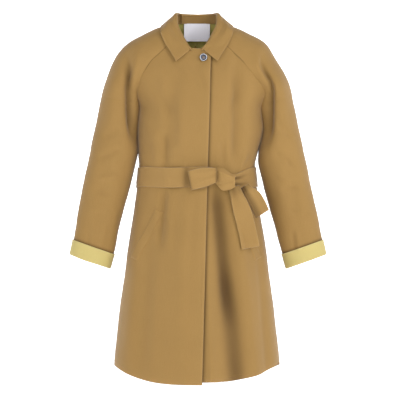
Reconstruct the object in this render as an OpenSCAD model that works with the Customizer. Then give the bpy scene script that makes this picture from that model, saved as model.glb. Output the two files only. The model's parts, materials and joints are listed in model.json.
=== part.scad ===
// Belted raglan car coat, hanging on its shoulders, fastened and tied.
// Z = 0 is the back neck seam, -Y is the front, +X is the wearer's left.
// "right" and "left" are the wearer's own sides.

/* [Body] */
// Length from the back neck seam to the front hem
body_len = 935; // [860:5:1020]
// How much higher the hem is at the side seams than at the front
side_hem_rise = 46; // [20:2:70]
// Width across the underarm points
underarm_w = 288; // [280:2:292]
// Width of the body at the chest
chest_w = 300; // [284:2:304]
// Width of the body at the waist, under the belt
waist_w = 300; // [250:2:306]
// Width of the body at the hip
hip_w = 366; // [300:2:380]
// Width of the body at the hem
hem_w = 430; // [360:5:500]
// Depth of the body at the chest
chest_d = 230; // [190:2:270]
// Depth of the body at the waist
waist_d = 200; // [160:2:240]
// Depth of the body at the hem
hem_d = 300; // [230:5:360]
// Drop from the neck to the underarm
underarm_drop = 220; // [210:2:250]
// Drop from the neck to the middle of the belt
waist_drop = 397; // [370:1:430]

/* [Shoulders and neck] */
// Width across the neck at the shoulder line
neck_w = 152; // [140:2:164]
// Half the distance between the two shoulder pivots
pivot_x = 172; // [168:1:180]
// Drop from the neck to the shoulder pivots
pivot_drop = 106; // [102:1:112]
// Radius of the rounded sleeve top about the shoulder pivot
cap_r = 50; // [44:1:52]
// Free gap between the sleeve top and the armhole
cap_gap = 2.5; // [1.5:0.5:4]

/* [Sleeves and cuffs] */
// Length of the sleeve from the pivot to the cuff end
sleeve_len = 520; // [480:5:560]
// Distance from the shoulder pivot to the elbow
elbow_at = 228; // [200:2:250]
// Width of the sleeve at the elbow
elbow_w = 118; // [104:1:122]
// Width of the sleeve above the cuff
wrist_w = 108; // [96:1:116]
// Depth of the sleeve at the shoulder
sleeve_top_d = 124; // [110:2:126]
// Depth of the sleeve at the wrist
wrist_d = 74; // [60:1:90]
// Height of the turned-back cuff
cuff_h = 38; // [28:1:50]

/* [Cloth] */
// Thickness of the outer cloth
cloth_t = 1.6; // [1.2:0.1:2]
// Thickness of the lining
lining_t = 0.8; // [0.6:0.1:1]
// Air gap between two layers of cloth
layer_gap = 1.2; // [0.9:0.1:1.5]

/* [Front closure] */
// Distance of the over panel's front edge from the middle at the neck
edge_top = 36; // [30:1:42]
// Distance of the over panel's front edge from the middle at the hem
edge_hem = 13; // [8:1:20]
// How far the under panel reaches past the middle
underlap = 24; // [18:1:30]
// How far the over panel stands in front of the under panel
over_lift = 9; // [8.5:0.5:11]
// Diameter of the buttons
button_d = 20; // [16:1:24]
// Thickness of the top button
button_t = 5; // [4:0.5:6]
// Number of hidden buttons behind the fly
fly_count = 5; // [3:1:6]
// Width of the front opening flap below the belt
flap_w = 85; // [70:5:95]
// Drop from the neck to the top of the opening flap
flap_top_drop = 600; // [580:5:660]

/* [Collar] */
// Height of the collar stand at the back
stand_h = 29; // [24:1:34]
// How far the collar leaf spreads past the neck at the shoulders
leaf_spread = 17; // [14:1:20]
// Distance of the collar tips from the middle
tip_x = 53; // [46:1:60]
// Drop from the neck to the collar tips
tip_drop = 96; // [88:1:106]

/* [Belt] */
// Width of the belt
belt_w = 50; // [40:1:56]
// Thickness of the belt
belt_t = 3; // [2:0.5:4]
// Distance of the knot from the middle
knot_x = 70; // [56:1:80]
// Length of the bow loop
bow_len = 74; // [60:1:84]
// Length of the long belt tail
tail_long_len = 166; // [130:2:190]
// Length of the short belt tail
tail_short_len = 102; // [80:2:120]

/* [Pockets and label] */
// Length of a pocket welt
welt_len = 165; // [140:5:175]
// Width of a pocket welt
welt_w = 26; // [18:1:32]
// Width of the neck label
label_w = 67; // [50:1:80]
// Height of the neck label
label_h = 47; // [36:1:54]
// Width of the small loop on the collar stand
loop_w = 11; // [8:1:14]

/* [Hidden] */

camel = [0.66, 0.52, 0.31];
camel_dark = [0.55, 0.43, 0.25];
lining_green = [0.52, 0.48, 0.24];
cuff_yellow = [0.83, 0.77, 0.50];
navy = [0.16, 0.17, 0.24];
label_white = [0.82, 0.80, 0.85];

// Heights that several pieces share
z_under = -underarm_drop;
z_chest = z_under - 54;
z_waist = -waist_drop;
z_belt_top = z_waist + belt_w / 2;
z_belt_bottom = z_waist - belt_w / 2;
z_hip = z_waist - 215;
z_hem = -body_len;
z_side_hem = z_hem + side_hem_rise;
z_pivot = -pivot_drop;
z_flap = -flap_top_drop;
z_neck_front = -66;
neck_half = neck_w / 2;
hole_r = cap_r + cap_gap;
side_power = 2.2;
button_z = -88;
button_x = 17;

// Half width of the body outline at a height
function half_w(z) = lookup(z, [
    [z_hem, hem_w / 2 + 2], [z_side_hem, hem_w / 2], [z_hip, hip_w / 2],
    [z_belt_bottom, waist_w / 2 + 5], [z_belt_top, waist_w / 2], [z_chest, chest_w / 2],
    [z_under, underarm_w / 2], [z_pivot - hole_r, pivot_x + 4], [z_pivot, pivot_x + 22],
    [z_pivot + cap_r + 1, pivot_x + 6], [-32, neck_half + 69], [-13, neck_half + 28],
    [-5, neck_half + 9], [1.5, neck_half]]);
// Half depth of the front and of the back at a height
function front_d(z) = lookup(z, [
    [z_hem, hem_d / 2 + 2], [z_hip, (waist_d + hem_d) / 4 + 2], [z_belt_bottom, waist_d / 2 + 2],
    [z_belt_top, waist_d / 2], [z_chest, chest_d / 2], [z_under, chest_d / 2 - 1],
    [-180, 106], [-130, 92], [-96, 78], [-66, 66], [-32, 58], [-5, 52], [1.5, 50]]);
function back_d(z) = lookup(z, [
    [z_hem, hem_d / 2 + 2], [z_hip, (waist_d + hem_d) / 4 + 6], [z_belt_bottom, waist_d / 2 + 4],
    [z_belt_top, waist_d / 2], [z_chest, chest_d / 2], [z_under, chest_d / 2],
    [-130, 108], [-96, 100], [-66, 90], [-32, 76], [-5, 63], [1.5, 60]]);
// Height of the shoulder line at a distance from the middle
function shoulder_z(x) = lookup(x, [
    [neck_half, 1.5], [neck_half + 9, -5], [neck_half + 28, -13], [neck_half + 69, -32],
    [pivot_x + 6, z_pivot + cap_r + 1]]);

// Distance of the surface from the mid plane, o outside the body outline
function surf_y(x, z, o, front) =
    let (w = half_w(z) + o, d = (front ? front_d(z) : back_d(z)) + o,
         r = min(1, abs(x) / w))
    (front ? -d : d) * pow(1 - pow(r, side_power), 1 / side_power);
// Angle round the outline that gives a distance x from the middle
function at_x(x, w) = let (r = min(1, abs(x) / w), a = acos(pow(r, side_power / 2)))
    x >= 0 ? a : 180 - a;
function spow(v, p) = v < 0 ? -pow(-v, p) : pow(v, p);
// Point of the outline: a = 0 is the side, 90 the middle
function body_pt(z, a, o, front) =
    let (w = half_w(z) + o, d = (front ? front_d(z) : back_d(z)) + o)
    [w * spow(cos(a), 2 / side_power), (front ? -d : d) * pow(sin(a), 2 / side_power), z];
function mix(a, b, t) = a + (b - a) * t;
function steps(n) = [for (i = [0:n]) i / n];
function smooth(t) = let (c = max(0, min(1, t))) c * c * (3 - 2 * c);

// Raglan seam: its points are shared by the body panels and the raglan heads
seam_in = neck_half;
seam_out = pivot_x - hole_r;
seam_z0 = -56;
seam_z1 = z_pivot + 7;
seam_steps = 4;
function seam_z(x) = x <= seam_out + 0.5
    ? mix(seam_z0, seam_z1, (x - seam_in) / (seam_out + 0.5 - seam_in))
    : z_pivot + sqrt(pow(hole_r, 2) - pow(x - pivot_x, 2));
neck_steps = 4;
neck_rows = [for (t = steps(neck_steps)) mix(1.5, seam_z0, pow(t, side_power))];
seam_xs = [for (i = [1:seam_steps]) mix(seam_in, seam_out + 0.5, i / seam_steps)];
seam_rows = [for (x = seam_xs) seam_z(x)];
arm_rows = concat([z_pivot, z_pivot - 12, -136, z_pivot - hole_r],
    [for (t = [0.25, 0.45, 0.6, 0.72, 0.82, 0.9, 0.96, 1]) mix(z_pivot - hole_r, z_under, t)]);
// Outer edge of a body panel at a height, on the side of the arm
arm_line = [[z_under, underarm_w / 2], [-180, underarm_w / 2 - 5],
    [z_pivot - 12, seam_out + 1.2], [z_pivot, seam_out], [seam_z1, seam_out + 0.5],
    [seam_z0, seam_in], [1.5, neck_half]];
function edge_x(z) = z <= z_under ? half_w(z) : lookup(z, arm_line);
// Front edge of the neck hole and of the two front panels
function neck_x(z) = z >= z_neck_front
    ? (neck_half - 8) * pow(1 - pow((1.5 - z) / (1.5 - z_neck_front + 0.01), 1.8), 1 / 1.8) : -999;
function over_x(z) = mix(edge_top, edge_hem, max(0, min(1, (z_neck_front - z) / (body_len - 66))));
// Hem height at a distance from the middle: a shirt-tail curve
function hem_z(x, w) = mix(z_hem, z_side_hem, pow(min(1, abs(x) / w), 3));

z_low = z_hem + 95;
top_rows = concat(neck_rows, seam_rows, arm_rows);
mid_rows = [z_chest, mix(z_chest, z_belt_top, 0.55), z_belt_top, z_belt_bottom,
    mix(z_belt_bottom, z_flap, 0.35), mix(z_belt_bottom, z_flap, 0.7), z_flap];
low_rows = [mix(z_flap, z_low, 0.35), mix(z_flap, z_low, 0.7), z_low, z_hem + 45, z_hem];
// Nominal rows below z_low are bent to follow the hem curve
function bent(z, a) = z >= z_low ? z
    : z_low + (z - z_low) * (hem_z(pow(abs(cos(a)), 2 / side_power), 1) - z_low) / (z_hem - z_low);
// How far the over panel stands proud near its front edge
top_lift = 5;
function lift(x, z) = smooth((x + 62) / 40) * mix(top_lift, over_lift, smooth((-70 - z) / 60))
    * smooth((-10 - z) / 40);

// Closed solid between two grids of points with the same rows and columns
module shell(outer, inner) {
    r = len(outer);
    c = len(outer[0]);
    n = r * c;
    pts = concat([for (row = outer) each row], [for (row = inner) each row]);
    function q(i, j) = i * c + j;
    front = [for (i = [0:r - 2], j = [0:c - 2]) each
        [[q(i, j), q(i + 1, j), q(i, j + 1)], [q(i, j + 1), q(i + 1, j), q(i + 1, j + 1)]]];
    back = [for (f = front) [f[0] + n, f[2] + n, f[1] + n]];
    top = [for (j = [0:c - 2]) each
        [[q(0, j), q(0, j + 1), q(0, j) + n], [q(0, j + 1), q(0, j + 1) + n, q(0, j) + n]]];
    bottom = [for (j = [0:c - 2]) each
        [[q(r - 1, j), q(r - 1, j) + n, q(r - 1, j + 1)],
         [q(r - 1, j + 1), q(r - 1, j) + n, q(r - 1, j + 1) + n]]];
    left = [for (i = [0:r - 2]) each
        [[q(i, 0), q(i, 0) + n, q(i + 1, 0)], [q(i + 1, 0), q(i, 0) + n, q(i + 1, 0) + n]]];
    right = [for (i = [0:r - 2]) each
        [[q(i, c - 1), q(i + 1, c - 1), q(i, c - 1) + n],
         [q(i + 1, c - 1), q(i + 1, c - 1) + n, q(i, c - 1) + n]]];
    polyhedron(pts, concat(front, back, top, bottom, left, right), convexity = 8);
}

// Closed tube wall between two stacks of rings
module tube_wall(outer, inner) {
    r = len(outer);
    c = len(outer[0]);
    n = r * c;
    pts = concat([for (row = outer) each row], [for (row = inner) each row]);
    function q(i, j) = i * c + j % c;
    sides = [for (i = [0:r - 2], j = [0:c - 1]) each
        [[q(i, j), q(i, j + 1), q(i + 1, j)], [q(i, j + 1), q(i + 1, j + 1), q(i + 1, j)]]];
    bore = [for (f = sides) [f[0] + n, f[2] + n, f[1] + n]];
    top = [for (j = [0:c - 1]) each
        [[q(0, j), q(0, j) + n, q(0, j + 1)], [q(0, j + 1), q(0, j) + n, q(0, j + 1) + n]]];
    bottom = [for (j = [0:c - 1]) each
        [[q(r - 1, j), q(r - 1, j + 1), q(r - 1, j) + n],
         [q(r - 1, j + 1), q(r - 1, j + 1) + n, q(r - 1, j) + n]]];
    polyhedron(pts, concat(sides, bore, top, bottom), convexity = 8);
}

// One side of the wearer is the mirror image of the other
module side(right) {
    if (right) mirror([1, 0, 0]) children(); else children();
}

// Row of points of a panel, from distance x0 to distance x1, n steps
function panel_row(z, x0, x1, n, o, front, lifted) =
    let (w = half_w(z) + o, a0 = at_x(x0, w), a1 = at_x(x1, w))
    [for (t = steps(n)) let (a = mix(a0, a1, t), p = body_pt(bent(z, a), a, o, front))
        lifted ? p - [0, lift(-p[0], p[2]), 0] : p];
// Row of the right front: its steps are split at the flap, so that no face runs across the step
function split_row(z, o) =
    let (w = half_w(z) + o, knee = min(flap_w + joint_gap + (z < z_flap - 0.5 ? knee_w : 0),
            mix(fixed_edge(z), side_x(z), knee_share)),
        a0 = at_x(side_x(z), w), a1 = at_x(knee, w), a2 = at_x(fixed_edge(z), w))
    [for (i = [0:lifted_steps])
        let (t = i / panel_steps, a = t <= 1 ? mix(a0, a1, t) : mix(a1, a2, t - 1),
            p = body_pt(bent(z, a), a, o, true))
        p - [0, lift(-p[0], p[2]), 0]];
// Grid of a panel: x0 and x1 are functions of the height
function panel_grid(rows, x0, x1, n, o, front, lifted = false) =
    [for (z = rows) panel_row(z, x0(z), x1(z), n, o, front, lifted)];
module panel(rows, x0, x1, n, o, t, front, lifted = false) {
    shell(panel_grid(rows, x0, x1, n, o, front, lifted),
        panel_grid(rows, x0, x1, n, o - t, front, lifted));
}

panel_steps = 9;
lifted_steps = 2 * panel_steps;
facing_steps = 8;
facing_o = -cloth_t - layer_gap;
strip_o = facing_o - lining_t - layer_gap;
facing_w = 60;
lining_o = facing_o - 0.4;
joint_gap = 0.6;
knee_w = 10.8;
knee_share = 0.66;
leaf_gap = 3.2;
side_x = function(z) edge_x(z);
over_edge = function(z) z >= z_neck_front ? neck_x(z) : -over_x(z);
under_edge = function(z) z >= z_neck_front ? neck_x(z) : -underlap;
flap_side = function(z) flap_w;
fixed_edge = function(z) z < z_flap - 0.5 ? flap_w + joint_gap : over_edge(z);
split_rows = concat(top_rows, mid_rows, [z_flap - 1], low_rows);
flap_rows = concat([z_flap - 1.6], low_rows);

module right_front() color(camel) side(true)
    shell([for (z = split_rows) split_row(z, 0)], [for (z = split_rows) split_row(z, -cloth_t)]);
module left_front() color(camel) side(false)
    panel(concat(top_rows, mid_rows, low_rows), side_x, under_edge, panel_steps, 0, cloth_t, true);
module right_skirt_flap() color(camel) side(true)
    panel(flap_rows, flap_side, over_edge, facing_steps, 0, cloth_t, true, true);
module back_half(right) color(camel) side(right)
    panel(concat(top_rows, mid_rows, low_rows), side_x, function(z) 0, panel_steps, 0, cloth_t, false);
module right_back() back_half(true);
module left_back() back_half(false);

// Raglan head: sections at constant x, from the front seam over the shoulder to the back
head_ts = [for (i = [-neck_steps:neck_steps]) i / neck_steps];
head_xs = concat([seam_in], seam_xs, [for (i = [1:4]) mix(seam_out + 0.5, pivot_x, i / 4)]);
function head_pt(x, t, o) =
    let (top = shoulder_z(x - o), z = mix(top, seam_z(x), pow(abs(t), side_power)))
    [x, surf_y(x, z, o, t < 0), z];
module raglan_head(right) color(camel) side(right)
    shell([for (x = head_xs) [for (t = head_ts) head_pt(x, -t, 0)]],
        [for (x = head_xs) [for (t = head_ts) head_pt(x, -t, -cloth_t)]]);
module right_raglan_head() raglan_head(true);
module left_raglan_head() raglan_head(false);

// Inner layers
lined_rows = concat(seam_rows, arm_rows, mid_rows, [for (z = low_rows) z > z_low ? z : z + 18]);
facing_rows = concat(seam_rows, arm_rows, mid_rows);
module right_facing() color(camel_dark) side(true)
    panel(facing_rows, function(z) facing_w, function(z) over_edge(z) + 1, facing_steps,
        facing_o, lining_t, true, true);
module left_facing() color(camel_dark) side(false)
    panel(concat(facing_rows, [for (z = low_rows) z + 4]), function(z) facing_w,
        function(z) under_edge(z) + 1, facing_steps, facing_o, lining_t, true);
module flap_facing() color(camel_dark) side(true)
    panel([for (z = flap_rows) z > z_low ? z : z + 4], function(z) flap_w - 1,
        function(z) over_edge(z) + 1, facing_steps, facing_o, lining_t, true, true);
module right_front_lining() color(lining_green) side(true)
    panel(concat(facing_rows, [z_flap - 1], [for (z = low_rows) z > z_low ? z : z + 18]), side_x,
        function(z) (z < z_flap + 0.5 ? flap_w : facing_w) + joint_gap, lifted_steps,
        lining_o, lining_t, true, true);
module left_front_lining() color(lining_green) side(false)
    panel(lined_rows, side_x, function(z) facing_w + joint_gap, panel_steps, lining_o, lining_t, true);
module back_lining() color(lining_green)
    panel(concat(neck_rows, lined_rows), side_x, function(z) -edge_x(z), 2 * panel_steps,
        facing_o, lining_t, false);

// Hidden fly: a strip behind the over panel, and the buttons on the under panel
fly_z0 = -165;
fly_pitch = (fly_z0 - z_flap - 15) / max(1, fly_count - 1);
fly_x = 2;
fly_button_d = button_d * 0.8;
fly_button_t = 1.8;
fly_button_gap = 0.8;
fly_rows = [for (z = concat(arm_rows, mid_rows)) if (z < fly_z0 + 35 && z > z_flap + 1) z];
module fly_strip() color(camel_dark) side(true)
    panel(fly_rows, function(z) 26, function(z) 2 - over_x(z), 4, strip_o, cloth_t / 2, true, true);
// Tilt of the surface of the under panel at a hidden button
function fly_tilt(z) = atan((surf_y(fly_x, z + fly_button_d / 2, 0, true)
    - surf_y(fly_x, z - fly_button_d / 2, 0, true)) / fly_button_d);
module fly_buttons() color(navy)
    for (z = [for (i = [0:fly_count - 1]) fly_z0 - i * fly_pitch])
        translate([fly_x, surf_y(fly_x, z, fly_button_gap, true), z]) rotate([90 - fly_tilt(z), 0, 0])
            cylinder(h = fly_button_t, d = fly_button_d, $fn = 32);
button_face = surf_y(button_x, button_z, lift(button_x, button_z), true);
shank_len = 5.4;
shank_gap = 0.9;
module top_button_shank() color(camel_dark)
    translate([button_x, button_face - shank_gap, button_z]) rotate([90, 0, 0])
        cylinder(h = shank_len - shank_gap, d = 3, $fn = 24);
module top_button() color(navy)
    translate([button_x, button_face - shank_len - 0.4, button_z]) rotate([90, 0, 0])
        difference() {
            union() {
                cylinder(h = button_t - 1, d = button_d, $fn = 48);
                cylinder(h = button_t, d = button_d - 2, $fn = 48);
            }
            translate([0, 0, button_t - 0.8]) cylinder(h = 1, d = button_d * 0.7, $fn = 48);
        }

// Collar: curves of the neck edge, the fold and the leaf's outer edge for angles from the back
collar_end = 165;
wing_from = 96;
function neck_pt(f) = let (c = cos(f), s = sin(f))
    [(neck_half - 10) * s, c > 0 ? 55 * c : 58 * c, c > 0 ? 1 : 1 - 70 * pow(-c, 1.5)];
function fold_pt(f) = [
    lookup(f, [[0, 0], [45, 38], [75, 54], [90, 56], [112, 55], [140, 38], [collar_end, 15]]),
    lookup(f, [[0, 54], [45, 40], [75, 14], [90, -2], [112, -24], [140, -47], [collar_end, -68]]),
    lookup(f, [[0, stand_h], [75, stand_h + 1], [90, stand_h + 2], [112, 11], [140, -27],
        [collar_end, -67]])];
shoulder_edge = neck_half + leaf_spread;
leaf_o = 13;
function edge_pt(f) = f <= 90
    ? [shoulder_edge * spow(sin(f), 1.1), 0, lookup(f, [[0, -14], [60, -9], [90, -3]])]
    : let (v = (f - 90) / (collar_end - 90)) [mix(shoulder_edge, tip_x, v), 0, mix(-3, -tip_drop, v)];
function leaf_pt(f, v, t) =
    let (p = fold_pt(f), q = edge_pt(f), out = t * 1.0, r = norm([p[0], p[1]]),
         x = mix(p[0] * (1 + (1.5 + out) / r), q[0], v), z = mix(p[2], q[2] + out * 0.3, v),
         front = f > 90, hug = surf_y(x, z, leaf_o + out - 2.4, front),
         py = p[1] * (1 + (1.5 + out) / r), ey = surf_y(q[0], q[2], leaf_o + out - 2.4, front),
         y = mix(py, ey, v), held = v < 0.3 ? smooth((f - 140) / 22) : 1)
    [x, front ? mix(y, min(y, hug), held) : v < 0.3 ? y : max(y, hug), z];
leaf_rows = 8;
module leaf(f0, f1, n) {
    fs = [for (t = steps(n)) mix(f0, f1, t)];
    vs = steps(leaf_rows);
    shell([for (f = fs) [for (v = vs) leaf_pt(f, 1 - v, 2.4)]],
        [for (f = fs) [for (v = vs) leaf_pt(f, 1 - v, 0)]]);
}
back_leaf_fs = [for (i = [-10:10]) i / 10 * (wing_from - leaf_gap)];
function both_sides(f, v, t) = let (p = leaf_pt(abs(f), v, t)) [f < 0 ? -p[0] : p[0], p[1], p[2]];
module collar_leaf() color(camel)
    shell([for (f = back_leaf_fs) [for (v = steps(5)) both_sides(f, 1 - v, 2.4)]],
        [for (f = back_leaf_fs) [for (v = steps(5)) both_sides(f, 1 - v, 0)]]);
module right_collar_wing() color(camel) side(true) leaf(wing_from, collar_end, 14);
module left_collar_wing() color(camel) side(false) leaf(wing_from, collar_end, 14);
stand_end = collar_end - 15;
stand_fs = [for (i = [-14:14]) i / 14 * stand_end];
function stand_pt(f, v, o) =
    let (p = mix(neck_pt(abs(f)), fold_pt(abs(f)), v), k = 1 - (1.2 + o) / norm([p[0], p[1]]))
    [(f < 0 ? -1 : 1) * p[0] * k, p[1] * k, p[2] - 1 - 2 * v];
module collar_stand() color(camel_dark)
    shell([for (f = stand_fs) [for (v = steps(3)) stand_pt(f, 1 - v, 0)]],
        [for (f = stand_fs) [for (v = steps(3)) stand_pt(f, 1 - v, 1.8)]]);
label_y = 42;
module neck_label() color(label_white)
    translate([-label_w / 2, label_y, 5.5 - label_h]) cube([label_w, 0.8, label_h]);
module neck_loop() color(camel)
    translate([-46, 22.5, 4]) rotate([0, 0, -52]) cube([loop_w, 1.6, 24]);

// Belt
belt_gap = 0.8;
function belt_o(x, front) = belt_gap + (front ? (over_lift + 0.6) * smooth((115 - abs(x)) / 50) : 0);
belt_ring = [for (i = [0:47]) i * 7.5];
function belt_pt(z, g, t) =
    let (front = g > 180, a = front ? 360 - g : g, x = body_pt(z, a, 0, front)[0],
         p = body_pt(z, a, belt_o(x, front) + t, front)) [p[0], p[1], z];
module belt_band() color(camel)
    tube_wall([for (z = [z_belt_top, z_waist, z_belt_bottom]) [for (g = belt_ring) belt_pt(z, g, belt_t)]],
        [for (z = [z_belt_top, z_waist, z_belt_bottom]) [for (g = belt_ring) belt_pt(z, g, 0)]]);
loop_t = 1.6;
loop_gap = 0.5;
loop_reach = 6;
// Section of a loop, o outside the side seam at the top and bottom of the belt
function loop_x(z, o) = half_w(z) + o;
loop_z0 = z_belt_top + loop_reach;
loop_z1 = z_belt_bottom - loop_reach;
loop_o = belt_gap + belt_t + loop_gap;
module belt_loops() color(camel) for (s = [0, 1]) mirror([s, 0, 0])
    rotate([90, 0, 0]) linear_extrude(height = 10, center = true) polygon([
        [loop_x(loop_z0, loop_gap), loop_z0], [loop_x(loop_z0, loop_o + loop_t), loop_z0],
        [loop_x(z_belt_top, loop_o + loop_t), z_belt_top],
        [loop_x(z_belt_bottom, loop_o + loop_t), z_belt_bottom],
        [loop_x(loop_z1, loop_o + loop_t), loop_z1], [loop_x(loop_z1, loop_gap), loop_z1],
        [loop_x(loop_z1 + loop_t, loop_gap), loop_z1 + loop_t],
        [loop_x(loop_z1 + loop_t, loop_o), loop_z1 + loop_t],
        [loop_x(z_belt_bottom, loop_o), z_belt_bottom], [loop_x(z_belt_top, loop_o), z_belt_top],
        [loop_x(loop_z0 - loop_t, loop_o), loop_z0 - loop_t],
        [loop_x(loop_z0 - loop_t, loop_gap), loop_z0 - loop_t]]);
knot_y = surf_y(knot_x, z_waist, belt_o(knot_x, true) + belt_t, true);
knot_r = 9;
bow_end = knot_x - belt_w / 2 + 3;
knot_back = surf_y(bow_end - 1, z_belt_bottom, belt_o(0, true) + belt_t, true) - 0.6;
module belt_knot() color(camel) translate([knot_x, knot_back - knot_r, z_waist - 2])
    hull() for (x = [-1, 1], z = [-1, 1])
        translate([x * (belt_w / 2 - 12), 0, z * (belt_w / 2 - 11)]) sphere(r = knot_r, $fn = 20);
bow_d = 14;
bow_h = belt_w - 10;
bow_back = surf_y(0, z_belt_bottom - 12, belt_o(0, true) + belt_t, true) - 0.6;
module belt_bow() color(camel)
    translate([bow_end - bow_len / 2 - 4, bow_back - bow_d / 2, z_waist - 3]) rotate([0, -8, 0])
        linear_extrude(height = bow_h, center = true) difference() {
            hull() for (s = [-1, 1]) translate([s * (bow_len - bow_d) / 2, 0]) circle(d = bow_d, $fn = 32);
            hull() for (s = [-1, 1]) translate([s * (bow_len - bow_d) / 2, 0])
                circle(d = bow_d - 2 * belt_t, $fn = 32);
        }
tail_top = z_belt_bottom - 4;
tail_y = knot_y + 2;
tail_lean = 17;
module tail(points) translate([0, tail_y, 0]) rotate([90, 0, 0])
    linear_extrude(height = belt_t) polygon(points);
tail_x = knot_x + 4;
module belt_tail_long() color(camel) tail([
    [tail_x, tail_top], [tail_x + belt_w - 4, tail_top],
    [tail_x + belt_w - 4 + tail_long_len * sin(tail_lean), tail_top - tail_long_len * cos(tail_lean) + 6],
    [tail_x + tail_long_len * sin(tail_lean), tail_top - tail_long_len * cos(tail_lean) - 6]]);
short_x = tail_x + belt_w;
module belt_tail_short() color(camel) tail([
    [short_x, tail_top], [short_x + 18, tail_top],
    [short_x + tail_short_len * 0.6, tail_top - tail_short_len * 0.55],
    [short_x + tail_short_len * 0.27, tail_top - tail_short_len * 0.75]]);

// Pockets: a slanted welt on the outside and a flat bag behind the lining
welt_top = [107, -477];
welt_end = welt_top + [0.45, -0.9] * welt_len * 0.86;
welt_across = [0.87, 0.45] * welt_w * 0.5;
function welt_pt(u, v, o) = let (p = mix(welt_top, welt_end, u) + welt_across * (v - 1))
    [p[0], surf_y(p[0], p[1], o, true), p[1]];
module pocket_welt(right) color(camel) side(right)
    shell([for (u = steps(8)) [for (v = steps(3)) welt_pt(u, 1 - v, 2.2)]],
        [for (u = steps(8)) [for (v = steps(3)) welt_pt(u, 1 - v, 0.4)]]);
module right_pocket_welt() pocket_welt(true);
module left_pocket_welt() pocket_welt(false);
bag_o = -6;
bag_t = 3;
module pocket_bag(right) color(lining_green) side(right)
    panel([z_belt_bottom - 30, z_belt_bottom - 90, z_flap, z_flap - 90],
        function(z) half_w(z) * 0.9, function(z) facing_w + 32, 5, bag_o, bag_t, true);
module right_pocket_bag() pocket_bag(true);
module left_pocket_bag() pocket_bag(false);

// Sleeves: rings along a straight arm line that leans outward from the pivot
arm_lean = 11.4;
cuff_lean = 19.5;
function sleeve_w(s) = lookup(s, [[0, 2 * cap_r], [75, 105], [171, 111], [elbow_at, elbow_w],
    [elbow_at + 50, elbow_w + 2], [elbow_at + 122, elbow_w - 3], [sleeve_len - 30, wrist_w],
    [sleeve_len, wrist_w]]) / 2;
function sleeve_d(s) = lookup(s, [[0, sleeve_top_d], [120, sleeve_top_d + 4],
    [elbow_at, sleeve_top_d - 4], [elbow_at + 122, (sleeve_top_d + wrist_d) / 2],
    [sleeve_len - 30, wrist_d], [sleeve_len, wrist_d]]) / 2;
function sleeve_shift(s) = lookup(s, [[0, 0], [75, 5], [117, 4], [171, 3], [elbow_at, 0],
    [sleeve_len, 0]]);
function ring_lean(s) = mix(arm_lean, cuff_lean, smooth((s - elbow_at - 40) / (sleeve_len - elbow_at - 70)));
ring_points = 20;
function sleeve_ring(s, o) =
    let (cx = pivot_x + s * sin(arm_lean) + sleeve_shift(s), cz = z_pivot - s * cos(arm_lean),
         w = sleeve_w(s) + o, d = sleeve_d(s) + o, l = ring_lean(s))
    [for (i = [0:ring_points - 1]) let (g = i * 360 / ring_points,
        e = w * spow(cos(g), 2 / side_power))
        [cx + e * cos(l), d * spow(sin(g), 2 / side_power), cz + e * sin(l)]];
module sleeve_tube(ss, o, t) {
    tube_wall([for (s = ss) sleeve_ring(s, o)], [for (s = ss) sleeve_ring(s, o - t)]);
}
upper_s = [0, 40, 75, 120, 171, elbow_at];
lower_s = [elbow_at + 1, elbow_at + 50, elbow_at + 122, elbow_at + 200, sleeve_len - 30, sleeve_len - 2];
cap_open = 102;
module sleeve_cap_profile(o) polygon(concat([[0, -sleeve_top_d / 2 - o]],
    [for (i = [-9:9]) let (g = i * 10) [(cap_r + o) * pow(cos(g), 2 / side_power),
        (sleeve_top_d / 2 + o) * spow(sin(g), 2 / side_power)]], [[0, sleeve_top_d / 2 + o]]));
cap_start = arm_lean + 0.4;
module sleeve_head(right) color(camel) side(right)
    translate([pivot_x, 0, z_pivot]) rotate([90, 0, 0]) rotate([0, 0, cap_start])
        rotate_extrude(angle = cap_open - cap_start, $fn = 60) difference() {
            sleeve_cap_profile(0);
            sleeve_cap_profile(-cloth_t);
        }
module right_sleeve_head() sleeve_head(true);
module left_sleeve_head() sleeve_head(false);
module sleeve_upper(right) color(camel) side(right) sleeve_tube(upper_s, 0, cloth_t);
module sleeve_lower(right) color(camel) side(right) sleeve_tube(lower_s, 0, cloth_t);
module right_sleeve_upper() sleeve_upper(true);
module left_sleeve_upper() sleeve_upper(false);
module right_sleeve_lower() sleeve_lower(true);
module left_sleeve_lower() sleeve_lower(false);
module sleeve_lining(right) color(lining_green) side(right)
    sleeve_tube([6, 75, 171, elbow_at - 0.5], facing_o, lining_t);
module forearm_lining(right) color(lining_green) side(right)
    sleeve_tube([elbow_at + 1.5, elbow_at + 122, sleeve_len - 30, sleeve_len - 6], facing_o, lining_t);
module right_sleeve_lining() sleeve_lining(true);
module left_sleeve_lining() sleeve_lining(false);
module right_forearm_lining() forearm_lining(true);
module left_forearm_lining() forearm_lining(false);
module cuff(right) color(cuff_yellow) side(right)
    sleeve_tube([sleeve_len - cuff_h, sleeve_len - cuff_h / 2, sleeve_len], cloth_t + 0.6, cloth_t);
module right_cuff() cuff(true);
module left_cuff() cuff(false);

right_front();
left_front();
right_back();
left_back();
right_raglan_head();
left_raglan_head();
right_facing();
left_facing();
right_front_lining();
left_front_lining();
back_lining();
collar_stand();
collar_leaf();
right_collar_wing();
left_collar_wing();
neck_label();
neck_loop();
top_button();
top_button_shank();
fly_buttons();
fly_strip();
right_skirt_flap();
flap_facing();
right_pocket_welt();
left_pocket_welt();
right_pocket_bag();
left_pocket_bag();
belt_band();
belt_loops();
belt_knot();
belt_bow();
belt_tail_long();
belt_tail_short();
right_sleeve_head();
left_sleeve_head();
right_sleeve_upper();
left_sleeve_upper();
right_sleeve_lower();
left_sleeve_lower();
right_sleeve_lining();
left_sleeve_lining();
right_forearm_lining();
left_forearm_lining();
right_cuff();
left_cuff();
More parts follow.
